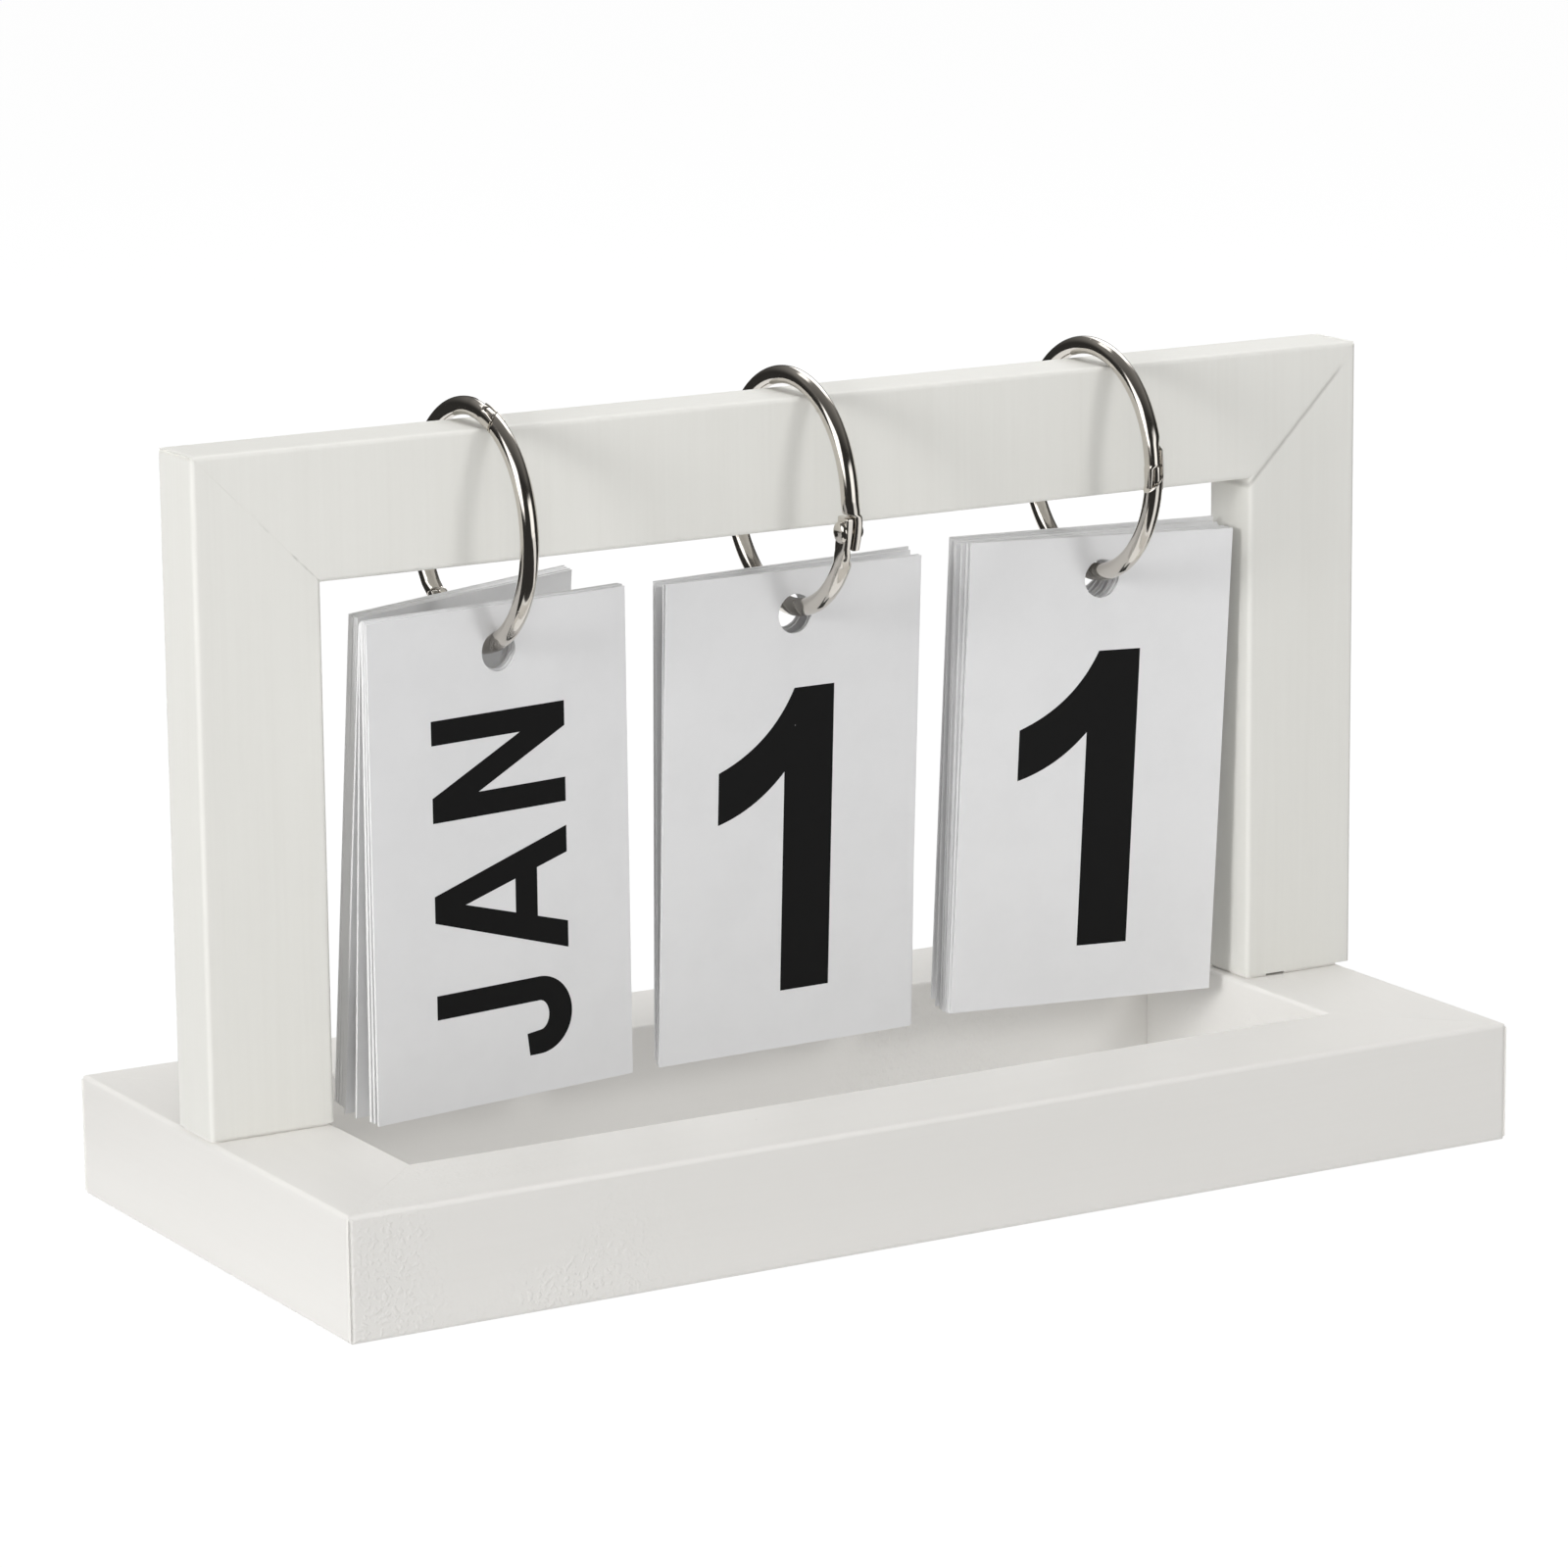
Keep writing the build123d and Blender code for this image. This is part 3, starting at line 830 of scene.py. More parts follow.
@dataclass(frozen=True)
class DayDigits:
    """Plain heavy digits for the days, drawn from bars and bows in one common box."""

    height: float = 54.4
    width: float = 36.0
    stem: float = 10.3
    arm: float = 9.0
    bar_depth: float = 9.6

    def digit(self, text: str) -> Strokes:
        """Draw one digit in a box from (0, 0) to (width, height); a nine is a turned six."""
        pen = Strokes()
        draw = (
            self._zero, self._one, self._two, self._three, self._four,
            self._five, self._six, self._seven, self._eight, self._six,
        )
        draw[int(text)](pen)
        return pen.turned(self.width, self.height) if text == "9" else pen

    def _oval(self, pen: Strokes, centre: Point, outer: Point, start: float = 0, end: float = 360) -> None:
        """Bent stroke of the digits' own weight."""
        pen.bow(centre, outer, (outer[0] - self.stem, outer[1] - self.arm), start, end)

    def _zero(self, pen: Strokes) -> None:
        """Tall oval."""
        self._oval(pen, (self.width / 2, self.height / 2), (self.width / 2, self.height / 2 + 0.5))

    def _one(self, pen: Strokes) -> None:
        """Stem with a curved flag."""
        stem_left, stem_right, flag_left, joint = 16.4, 26.7, 2.5, 39.6
        pen.bar(stem_left, 0.0, stem_right, self.height - 10.0)
        upper = pen.curve((18.2, self.height), (13.5, 44.8), (flag_left, 40.8))
        lower = pen.curve((flag_left, 31.5), (10.6, 33.6), (stem_left, joint))
        pen.shape(*upper, *lower, (stem_right, joint), (stem_right, self.height))

    def _two(self, pen: Strokes) -> None:
        """Bow, slope and foot."""
        left = 0.6
        self._oval(pen, (18.0, 38.2), (17.0, 16.7), -28, 176)
        pen.bar(left, 0.0, 35.2, self.bar_depth)
        upper = pen.curve((33.0, 30.4), (29.6, 24.6), (14.6, self.bar_depth))
        lower = pen.curve((left, self.bar_depth), (4.6, 19.0), (24.0, 34.6))
        pen.shape(*upper, *lower)

    def _three(self, pen: Strokes) -> None:
        """Two bows, open on the left."""
        self._oval(pen, (17.0, 39.8), (16.0, 15.1), -80, 168)
        self._oval(pen, (17.2, 15.6), (17.6, 16.1), -170, 82)
        pen.bar(12.0, 24.4, 20.0, 31.8)

    def _four(self, pen: Strokes) -> None:
        """Slope, crossbar and stem."""
        left, right, low, high, top = 21.8, 31.8, 11.2, 20.2, self.height
        lap = left + 0.6
        pen.bar(left, 0.0, right, top)
        pen.bar(0.0, low, 37.4, high)
        pen.shape((0.0, high), (0.0, 17.0), (11.0, high), (lap, 38.6), (lap, top), (23.0, top))

    def _five(self, pen: Strokes) -> None:
        """Top bar, short stem and bow."""
        left = 6.6
        pen.bar(left, self.height - self.bar_depth, 33.4, self.height)
        pen.shape((left, self.height), (16.2, self.height), (12.2, 29.0), (2.2, 26.4))
        self._oval(pen, (17.4, 17.4), (17.8, 17.9), -170, 130)

    def _six(self, pen: Strokes) -> None:
        """Low oval with a tall back."""
        self._oval(pen, (18.2, 17.4), (17.4, 17.9))
        self._oval(pen, (18.6, 27.2), (17.8, 27.7), 52, 200)

    def _seven(self, pen: Strokes) -> None:
        """Top bar and a curved slope."""
        slope_left, right = 23.6, 35.4
        bar_low, corner = self.height - self.bar_depth, self.height - 2.0
        pen.bar(0.4, bar_low, right, self.height)
        left_edge = pen.curve((slope_left, bar_low), (10.0, 26.0), (8.6, 0.0))
        right_edge = pen.curve((18.8, 0.0), (20.4, 27.0), (right, self.height - 7.0))
        pen.shape(*left_edge, *right_edge, (right, corner), (slope_left, corner))

    def _eight(self, pen: Strokes) -> None:
        """Two ovals, the smaller one on top."""
        self._oval(pen, (18.0, 40.0), (15.8, 14.9))
        self._oval(pen, (18.0, 15.8), (17.6, 16.3))


def card_face(node: str) -> Matrix:
    """Matrix from millimetres on a card's front face, from its lower left corner, to the part's frame."""
    mesh = frame["nodes"][node].data
    towards_reader = [p for p in mesh.polygons if p.normal.y < -0.7]
    out = sum((p.normal * p.area for p in towards_reader), Vector()).normalized()
    corners = {mesh.vertices[i].co.to_tuple(9) for p in towards_reader for i in p.vertices}
    points = [Vector(c) for c in corners]
    level = Vector((0, 0, 1)).cross(-out).normalized() * -1
    rise = out.cross(level)
    lower_left = min(points, key=lambda p: p.dot(level) + p.dot(rise))
    lower_right = max(points, key=lambda p: p.dot(level) - p.dot(rise))
    right = (lower_right - lower_left).normalized()
    turn = Matrix((right, out.cross(right), out)).transposed().to_4x4()
    return Matrix.Translation(lower_left) @ turn @ Matrix.Scale(MM, 4)


@dataclass(frozen=True)
class Sheet:
    """A punched card with square edges, cut to the outline of its node, in millimetres."""

    thickness: float = 0.4
    margin: float = 1.0
    hole_steps: int = 64

    def piece(self, name: str, node: str, stock: bpy.types.Material) -> bpy.types.Object:
        """Make the card on its front face.

        Args:
            name: Name of the piece.
            node: Node that it stands for.
            stock: Its finish.

        Returns:
            The piece, with its place in its mesh.
        """
        place = card_face(node)
        to_face = place.inverted()
        points = [to_face @ v.co for v in frame["nodes"][node].data.vertices]
        front = [p for p in points if p.z > -0.5 * self.thickness]
        width, height = (max(p[k] for p in front) for k in (0, 1))
        edge = self.margin
        inside = [p for p in front if edge < p.x < width - edge and edge < p.y < height - edge]
        centre = sum(inside, Vector()) / len(inside)
        radius = sum((p - centre).length for p in inside) / len(inside)
        turns = [math.tau * i / self.hole_steps for i in range(self.hole_steps)]
        hole = [(centre.x + radius * math.cos(t), centre.y + radius * math.sin(t)) for t in turns]
        solid = bmesh.new()
        edges = []
        for outline in ([(0.0, 0.0), (width, 0.0), (width, height), (0.0, height)], hole):
            loop = [solid.verts.new((x, y, 0.0)) for x, y in outline]
            edges.extend(solid.edges.new(pair) for pair in zip(loop, (*loop[1:], loop[0])))
        bmesh.ops.triangle_fill(solid, use_beauty=True, edges=edges)
        thicken(solid, -self.thickness)
        solid.transform(place)
        return finished(name, solid, stock)


@dataclass(frozen=True)
class Print:
    """Thin layer of ink on a card's face, in millimetres."""

    lift: float = 0.004
    thickness: float = 0.02
    weld: float = 0.0005
    flat_angle: float = math.radians(0.5)

    def piece(self, name: str, strokes: Strokes, place: Matrix, ink: bpy.types.Material) -> bpy.types.Object:
        """Make the layer from flat strokes.

        Args:
            name: Name of the piece.
            strokes: Outlines in millimetres on the face.
            place: Matrix from the face to the part's frame.
            ink: Its finish.

        Returns:
            The piece, with its place in its mesh.
        """
        points: list[Vector] = []
        faces: list[list[int]] = []
        for outline in strokes.outlines:
            faces.append(list(range(len(points), len(points) + len(outline))))
            points.extend(Vector(p) for p in outline)
        flat, _, triangles, _, _, covers = delaunay_2d_cdt(points, [], faces, 0, self.weld)
        solid = bmesh.new()
        low = [solid.verts.new((p.x, p.y, self.lift)) for p in flat]
        for triangle, cover in zip(triangles, covers):
            if cover:
                solid.faces.new([low[i] for i in triangle])
        loose = [v for v in solid.verts if not v.link_faces]
        bmesh.ops.delete(solid, geom=loose, context="VERTS")
        bmesh.ops.recalc_face_normals(solid, faces=solid.faces)
        bmesh.ops.dissolve_limit(solid, angle_limit=self.flat_angle, verts=solid.verts, edges=solid.edges)
        thicken(solid, self.thickness)
        solid.transform(place)
        return faceted(name, solid, ink)


# Sub-assemblies

@dataclass(frozen=True)
class Stand:
    """The painted wooden frame on its open base, with filled joints."""

    effects: Effects
    upright_paint: WhitePaint = WhitePaint()
    base_paint: WhitePaint = WhitePaint(
        colour=(0.868, 0.852, 0.82), shade=(0.84, 0.825, 0.79), brush_depth=0.2
    )
    fill_inset: float = 0.03 * MM
    fill_thickness: float = 0.07 * MM
    fill_corner: float = 0.7 * MM
    bead_inset: float = 0.5 * MM
    bead_bulge: float = 0.15 * MM
    bead_depth: float = 0.6 * MM
    bead_lap: float = 0.02 * MM
    bead_corner: float = 1.2 * MM
    corner_steps: int = 6
    bulge_steps: int = 8
    window: tuple[float, float] = (0.2, 0.4)

    def _mitres(self) -> tuple[Seam, Seam]:
        """The upright's seams: a faint one on the left, and one on the right that has opened up."""
        low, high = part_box("top_rail")
        middle_y = (low.y + high.y) / 2
        left_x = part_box("left_post")[0].x
        right_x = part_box("right_post")[1].x + 1.2 * MM
        lean = math.sqrt(0.5)
        rising, falling, back = (lean, 0.0, lean), (lean, 0.0, -lean), (-lean, 0.0, -lean)
        left = Seam((left_x, middle_y, high.z), rising, falling, 16 * MM, 0.3 * MM, 0.5, 0.4)
        right = Seam((right_x, middle_y, high.z), falling, back, 9 * MM, 0.6 * MM, 1.0, 0.42)
        return left, right

    def _patch(self, node: str, share: float, lift: float, reach: float) -> Peel:
        """Blisters on a rail's front face, at a share of its length and a height above its foot."""
        low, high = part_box(node)
        return Peel(1.0, (low.x + share * (high.x - low.x), low.y, low.z + lift), reach)

    def build(self) -> None:
        """Paint every wooden piece, fill its joints and finish the fasteners."""
        left, right = self._mitres()
        rough_end = self._patch("base_front_rail", 0.1, -8 * MM, 55 * MM)
        rough_patch = self._patch("base_back_rail", 0.69, 6 * MM, 30 * MM)
        pieces = (
            ("top_rail", self.upright_paint, GrainAxis.Z, Peel(0.15), (left, right)),
            ("left_post", self.upright_paint, GrainAxis.Z, Peel(0.15), (left,)),
            ("right_post", self.upright_paint, GrainAxis.Z, Peel(0.15), (right,)),
            ("base_front_rail", self.base_paint, GrainAxis.X, rough_end, ()),
            ("base_back_rail", self.base_paint, GrainAxis.X, rough_patch, ()),
            ("base_left_rail", self.base_paint, GrainAxis.Y, Peel(0.2), ()),
            ("base_right_rail", self.base_paint, GrainAxis.Y, Peel(0.3), ()),
        )
        coats = {}
        for node, paint, grain, peel, seams in pieces:
            own = replace(paint, grain=grain, peel=peel, seams=seams)
            coats[node] = own.material(f"paint_{node}", self.effects)
            dress(node, coats[node])
        self._fill_joints(coats)
        for side, window in (("left", None), ("right", self.window)):
            base = f"base_{side}_rail"
            self._foot_bead(f"{side}_post", base, window, coats[base])
        wood = BareWood().material("bare_wood", self.effects)
        for node in ("base_corner_dowels", "top_corner_dowels"):
            dress(node, wood)
        dress("post_screws", BlackSteel().material("screw_steel", self.effects))

    def _add(self, name: str, solid: bmesh.types.BMesh, coat: bpy.types.Material) -> None:
        """Finish a painted filler of the stand."""
        piece = finished(name, solid, coat)
        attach(piece, "stand")
        log.info("filled %s", name)

    def _fill_joints(self, coats: dict[str, bpy.types.Material]) -> None:
        """Fill the six mitres, each with the paint of one of its pieces."""
        low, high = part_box("top_rail")
        middle_y, half_y = (low.y + high.y) / 2, (high.y - low.y) / 2
        sides = (("left", 0), ("right", 1))
        for side, out in sides:
            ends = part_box(f"{side}_post")
            outer = Vector((ends[out].x, middle_y, high.z))
            inner = Vector((ends[1 - out].x, middle_y, low.z))
            self._slab(f"{side}_upper_joint_fill", outer, inner, Vector((0, 1, 0)), half_y, coats["top_rail"])
        for end, end_out in (("front", 0), ("back", 1)):
            rail = f"base_{end}_rail"
            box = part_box(rail)
            middle_z, half_z = (box[0].z + box[1].z) / 2, (box[1].z - box[0].z) / 2
            for side, out in sides:
                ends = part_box(f"base_{side}_rail")
                outer = Vector((ends[out].x, box[end_out].y, middle_z))
                inner = Vector((ends[1 - out].x, box[1 - end_out].y, middle_z))
                name = f"{end}_{side}_base_joint_fill"
                self._slab(name, outer, inner, Vector((0, 0, 1)), half_z, coats[rail])

    def _slab(self, name: str, outer: Vector, inner: Vector, depth: Vector, half_depth: float,
              coat: bpy.types.Material) -> None:
        """Make the thin filler of one mitre, just under the painted faces.

        Args:
            name: Name of the piece.
            outer: Middle of the joint's outer corner.
            inner: Middle of its inner corner.
            depth: Direction of the corner line.
            half_depth: Half the length of that line.
            coat: Its paint.
        """
        along = (inner - outer).normalized()
        normal = along.cross(depth)
        run = (inner - outer).length / 2 - self.fill_inset
        rise = half_depth - self.fill_inset
        cut = self.fill_corner
        middle = (outer + inner) / 2
        corners = [
            (run - 2 * cut, rise), (run, rise - cut), (run, cut - rise), (run - 2 * cut, -rise),
            (2 * cut - run, -rise), (-run, cut - rise), (-run, rise - cut), (2 * cut - run, rise),
        ]
        solid = bmesh.new()
        sides = []
        for lift in (-self.fill_thickness / 2, self.fill_thickness / 2):
            places = [middle + along * s + depth * d + normal * lift for s, d in corners]
            sides.append([solid.verts.new(place) for place in places])
        skin(solid, sides)
        self._add(name, solid, coat)

    def _foot_bead(self, post: str, base: str, window: tuple[float, float] | None,
                   coat: bpy.types.Material) -> None:
        """Make the bead of paint that closes the hairline under a post.

        Args:
            post: Node of the post.
            base: Node of the rail that it stands on.
            window: Share of the front, from its left, that the bead leaves open, or None.
            coat: Its paint.
        """
        low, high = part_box(post)
        base_low, base_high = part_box(base)
        left = max(low.x, base_low.x) + self.bead_inset
        right = min(high.x, base_high.x) - self.bead_inset
        front, back = low.y + self.bead_inset, high.y - self.bead_inset
        middle_z = (low.z + base_high.z) / 2
        half_z = (low.z - base_high.z) / 2 + self.bead_lap
        corner = self.bead_corner
        path = []
        for x, y, start in (
            (right - corner, front + corner, -90), (right - corner, back - corner, 0),
            (left + corner, back - corner, 90), (left + corner, front + corner, 180),
        ):
            for i in range(self.corner_steps + 1):
                turn = math.radians(start + 90 * i / self.corner_steps)
                out = Vector((math.cos(turn), math.sin(turn), 0.0))
                path.append((Vector((x, y, middle_z)) + out * corner, out))
        if window:
            ahead = Vector((0.0, -1.0, 0.0))
            first, last = (Vector((left + share * (right - left), front, middle_z)) for share in window)
            path = [(last, ahead), *path, (first, ahead)]
        solid = bmesh.new()
        loops = []
        for place, out in path:
            loop = []
            for i in range(self.bulge_steps + 1):
                turn = math.radians(-90 + 180 * i / self.bulge_steps)
                offset = out * self.bead_bulge * math.cos(turn)
                loop.append(solid.verts.new(place + offset + Vector((0, 0, half_z * math.sin(turn)))))
            for rise in (half_z, -half_z):
                loop.append(solid.verts.new(place - out * self.bead_depth + Vector((0, 0, rise))))
            loops.append(loop)
        skin(solid, loops, closed=window is None)
        self._add(f"{post}_foot_bead", solid, coat)


@dataclass(frozen=True)
class Section:
    """Cross-section of a wire, in millimetres.

    along is its distance from an end's reference point into the wire. middle and rise are its
    place along the stand and outwards, square is 2 for an ellipse and more for a squarer shape,
    and slant is how much further in it lies for each millimetre along the stand.
    """

    along: float
    middle: float = 0.0
    rise: float = 0.0
    half_width: float = 1.6
    half_height: float = 1.6
    square: float = 2.0
    slant: float = 0.0

    def values(self) -> tuple[float, ...]:
        """What changes from one section to the next."""
        return (self.middle, self.rise, self.half_width, self.half_height, self.square, self.slant)

    @classmethod
    def between(cls, keys: tuple["Section", ...], along: float) -> "Section":
        """Section at a place among known ones, with a smooth change from each to the next."""
        if along <= keys[0].along:
            return cls(along, *keys[0].values())
        for first, second in zip(keys, keys[1:]):
            if along <= second.along:
                t = (along - first.along) / (second.along - first.along)
                t = t * t * (3 - 2 * t)
                mixed = [a + (b - a) * t for a, b in zip(first.values(), second.values())]
                return cls(along, *mixed)
        return cls(along, *keys[-1].values())


class RingMesh:
    """Mesh of bent wires round one ring, in millimetres along, across and outwards from the wire."""

    LOOP = 48
    LIP_LOOP = 8
    FINE_STEP = 0.16
    COARSE_STEP = 0.7

    def __init__(self, centre: Vector, radius: float) -> None:
        """Start an empty mesh about the ring's centre, for a wire at the given radius in millimetres."""
        self.centre = centre
        self.radius = radius
        self.solid = bmesh.new()

    def _point(self, arc: float, across: float, outwards: float) -> bmesh.types.BMVert:
        """Add a point.

        Args:
            arc: Millimetres along the wire from the ring's top, towards the reader.
            across: Millimetres along the stand.
            outwards: Millimetres from the wire's middle, away from the ring's centre.

        Returns:
            The point in the part's frame.
        """
        turn = arc / self.radius
        reach = self.radius + outwards
        place = self.centre + MM * Vector((across, -reach * math.sin(turn), reach * math.cos(turn)))
        return self.solid.verts.new(place)

    def _loop(self, arc: float, way: float, section: Section) -> Loop:
        """Points of one section, with its slant counted towards the reader (way 1) or back (way -1)."""
        power = 2 / section.square
        loop = []
        for i in range(self.LOOP):
            turn = math.tau * i / self.LOOP
            side, out = math.cos(turn), math.sin(turn)
            across = section.middle + section.half_width * math.copysign(abs(side) ** power, side)
            outwards = section.rise + section.half_height * math.copysign(abs(out) ** power, out)
            loop.append(self._point(arc + way * section.slant * across, across, outwards))
        return loop

    def _run(self, start: float, way: float, keys: tuple[Section, ...]) -> list[Loop]:
        """Loops of a stretch with known sections, from a reference point on."""
        stretch = keys[-1].along - keys[0].along
        count = max(2, round(stretch / self.FINE_STEP))
        run = [Section.between(keys, keys[0].along + stretch * i / count) for i in range(count + 1)]
        return [self._loop(start + way * s.along, way, s) for s in run]

    def wire(self, start: float, end: float, start_keys: tuple[Section, ...],
             end_keys: tuple[Section, ...]) -> None:
        """Add a wire between two reference points.

        Args:
            start: Arc length of the first reference point.
            end: Arc length of the last one.
            start_keys: Sections near the first, counted inwards.
            end_keys: Sections near the last, counted inwards.
        """
        head, tail = self._run(start, 1, start_keys), self._run(end, -1, end_keys)
        first, last = start + start_keys[-1].along, end - end_keys[-1].along
        count = max(2, round((last - first) / self.COARSE_STEP))
        plain = start_keys[-1]
        middle = [self._loop(first + (last - first) * i / count, 1, plain) for i in range(1, count)]
        skin(self.solid, [*head, *middle, *reversed(tail)])

    def peg(self, start: float, way: float, keys: tuple[Section, ...]) -> None:
        """Add a short stretch of wire from a reference point, towards the reader (way 1) or back."""
        skin(self.solid, self._run(start, way, keys))

    def rim(self, start: float, way: float, section: Section, thickness: float) -> None:
        """Add a thin raised lip round a section.

        Args:
            start: Arc length of the reference point.
            way: 1 for towards the reader, -1 for back.
            section: Section that the lip runs round.
            thickness: Radius of the lip.
        """
        loops = []
        for i in range(self.LOOP):
            turn = math.tau * i / self.LOOP
            ring = []
            for k in range(self.LIP_LOOP):
                roll = math.tau * k / self.LIP_LOOP
                out = 1 + thickness * math.cos(roll) / section.half_width
                across = section.middle + section.half_width * out * math.cos(turn)
                outwards = section.rise + section.half_height * out * math.sin(turn)
                arc = start + way * (section.along + section.slant * across) + thickness * math.sin(roll)
                ring.append(self._point(arc, across, outwards))
            loops.append(ring)
        skin(self.solid, loops, closed=True)


@dataclass(frozen=True)
class BookRing:
    """One hinged ring of polished wire, with a riveted lap at its hinge and a hooked lap at its snap.

    snap is where the ring opens, in degrees from its top towards the reader. Each tuple of sections
    is one half near its hinge or its snap, from its end inwards. A rivet's head and foot are the
    place of the seat along the stand, the radius and the rise of the dome.
    """

    name: str
    snap: float
    carrier_hinge: tuple[Section, ...] = (
        Section(-2.6, -0.86, 0.0, 0.64, 1.6, 6.0),
        Section(-2.5, -0.86, 0.0, 0.74, 1.7, 6.0),
        Section(2.4, -0.86, 0.0, 0.74, 1.7, 5.0),
        Section(4.6, -0.5, 0.0, 1.1, 1.65, 3.0),
        Section(6.6),
    )
    gate_hinge: tuple[Section, ...] = (
        Section(-3.2, 1.12, 0.0, 0.7, 1.25, 4.5),
        Section(-3.05, 1.12, 0.0, 0.85, 1.4, 4.5),
        Section(1.6, 1.1, 0.0, 0.88, 1.55, 3.6),
        Section(2.7, 0.95, 0.0, 0.95, 1.6, 3.0),
        Section(3.3, 0.2, 0.0, 1.5, 1.6, 2.2),
        Section(5.4),
    )
    carrier_snap: tuple[Section, ...] = (
        Section(2.65, 0.0, 0.0, 1.5, 1.5, 2.0, -1.0),
        Section(2.85, 0.0, 0.0, 1.6, 1.6, 2.0, -1.0),
        Section(6.5),
    )
    gate_snap: tuple[Section, ...] = (
        Section(-3.7, -1.1, 0.0, 0.42, 1.05, 2.6),
        Section(-0.5, -1.05, 0.0, 0.55, 1.2, 2.6),
        Section(0.3, -0.3, 0.0, 1.28, 1.58, 2.1),
        Section(3.2, -0.25, 0.0, 1.35, 1.6, 2.0),
        Section(5.2),
    )
    hook_lip: tuple[Section, ...] = (
        Section(-3.5, 1.3, 0.1, 0.1, 0.3),
        Section(-2.6, 1.32, 0.05, 0.42, 1.0),
        Section(4.0, 1.15, 0.0, 0.45, 1.15),
    )
    hook_bead: tuple[Section, ...] = (
        Section(-0.35, 0.12, 0.62, 0.3, 0.3),
        Section(0.1, 0.12, 0.62, 0.72, 0.8),
        Section(2.4, 0.12, 0.62, 0.76, 0.84),
        Section(4.2, 0.12, 0.5, 0.6, 0.6),
    )
    lip_thickness: float = 0.14
    rivet_shank: float = 0.8
    rivet_head: Triple = (-1.6, 1.95, 0.95)
    rivet_foot: Triple = (1.98, 1.3, 0.45)
    rivet_sides: int = 40
    dome_steps: int = 8
    dome_power: float = 0.8

    def build(self, plate: bpy.types.Material) -> None:
        """Make both halves and the rivet in place of the plain ones.

        Args:
            plate: Finish of the ring.
        """
        centre = joint_place(f"{self.name}_ring_turn")
        hinge_place = joint_place(f"{self.name}_ring_open")
        offset = hinge_place - centre
        radius = offset.length / MM
        hinge = math.atan2(-offset.y, offset.z) % math.tau * radius
        snap = math.radians(self.snap) * radius
        whole = math.tau * radius
        halves = (
            ("carrier", "ring", self.carrier_snap, self.carrier_hinge),
            ("gate", "gate", self.gate_snap, self.gate_hinge),
        )
        for half, body, snap_keys, hinge_keys in halves:
            mesh = RingMesh(centre, radius)
            snap_first = (snap < hinge) == (half == "carrier")
            if snap_first:
                mesh.wire(snap, hinge if hinge > snap else hinge + whole, snap_keys, hinge_keys)
            else:
                mesh.wire(hinge, snap if snap > hinge else snap + whole, hinge_keys, snap_keys)
            if half == "carrier":
                way = 1 if snap_first else -1
                mesh.peg(snap, way, self.hook_lip)
                mesh.peg(snap, way, self.hook_bead)
                mesh.rim(snap, way, self.carrier_snap[1], self.lip_thickness)
            node = f"{self.name}_ring_{half}"
            piece = finished(f"{node}_wire", mesh.solid, plate)
            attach(piece, f"{self.name}_{body}")
            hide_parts(node)
            log.info("bent %s", piece.name)
        self._rivet(hinge_place, plate)

    def _rivet(self, place: Vector, plate: bpy.types.Material) -> None:
        """Make the rivet with its two domed heads at the middle of the hinge."""
        profile = []
        for side, (seat, radius, rise) in ((-1, self.rivet_head), (1, self.rivet_foot)):
            dome = [(seat, self.rivet_shank)]
            for i in range(self.dome_steps + 1):
                lift = math.pi / 2 * i / self.dome_steps
                dome.append((seat + side * rise * math.sin(lift), radius * math.cos(lift) ** self.dome_power))
            profile.extend(reversed(dome) if side < 0 else dome)
        turns = [math.tau * k / self.rivet_sides for k in range(self.rivet_sides)]
        solid = bmesh.new()
        loops = []
        for across, reach in profile:
            ring = [Vector((across, reach * math.cos(t), reach * math.sin(t))) for t in turns]
            loops.append([solid.verts.new(place + MM * point) for point in ring])
        skin(solid, loops, capped=False)
        bmesh.ops.remove_doubles(solid, verts=solid.verts, dist=1e-7)
        node = f"{self.name}_ring_rivet"
        piece = finished(f"{node}_domed", solid, plate)
        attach(piece, f"{self.name}_ring")
        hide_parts(node)
        log.info("set %s", piece.name)


class Script(Enum):
    """How a pack's cards are printed."""

    MONTH = "month"
    DAY = "day"


@dataclass(frozen=True)
class CardPack:
    """Cards on one ring, with the mark on each from the front card to the last."""

    name: str
    script: Script
    marks: tuple[str, ...]
    sheet: Sheet = Sheet()
    layer: Print = Print()
    letters: MonthLetters = MonthLetters()
    digits: DayDigits = DayDigits()
    month_baseline: float = 40.55
    month_middle: float = 37.3
    digit_left: float = 9.0
    digit_bottom: float = 10.4

    def _mark(self, text: str) -> Strokes:
        """Month name or digit in millimetres from the face's lower left corner."""
        placed = Strokes()
        if self.script is Script.MONTH:
            word = self.letters.word(text)
            low, high = word.bounds()
            start = self.month_middle - (high - low) / 2
            placed.outlines = [[(self.month_baseline - y, start + x) for x, y in o] for o in word.outlines]
        else:
            left, bottom = self.digit_left, self.digit_bottom
            digit = self.digits.digit(text)
            placed.outlines = [[(x + left, y + bottom) for x, y in o] for o in digit.outlines]
        return placed

    def build(self, stock: bpy.types.Material, ink: bpy.types.Material) -> None:
        """Make every card and print its mark.

        Args:
            stock: Material of the cards.
            ink: Material of the print.
        """
        for number, text in enumerate(self.marks, start=1):
            card = f"{self.name}_card_{number:02d}"
            sheet = self.sheet.piece(f"{card}_sheet", card, stock)
            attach(sheet, card)
            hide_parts(card)
            mark = self.layer.piece(f"{card}_print", self._mark(text), card_face(card), ink)
            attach(mark, card)
            log.info("printed %s on %s", text, card)


# Studio

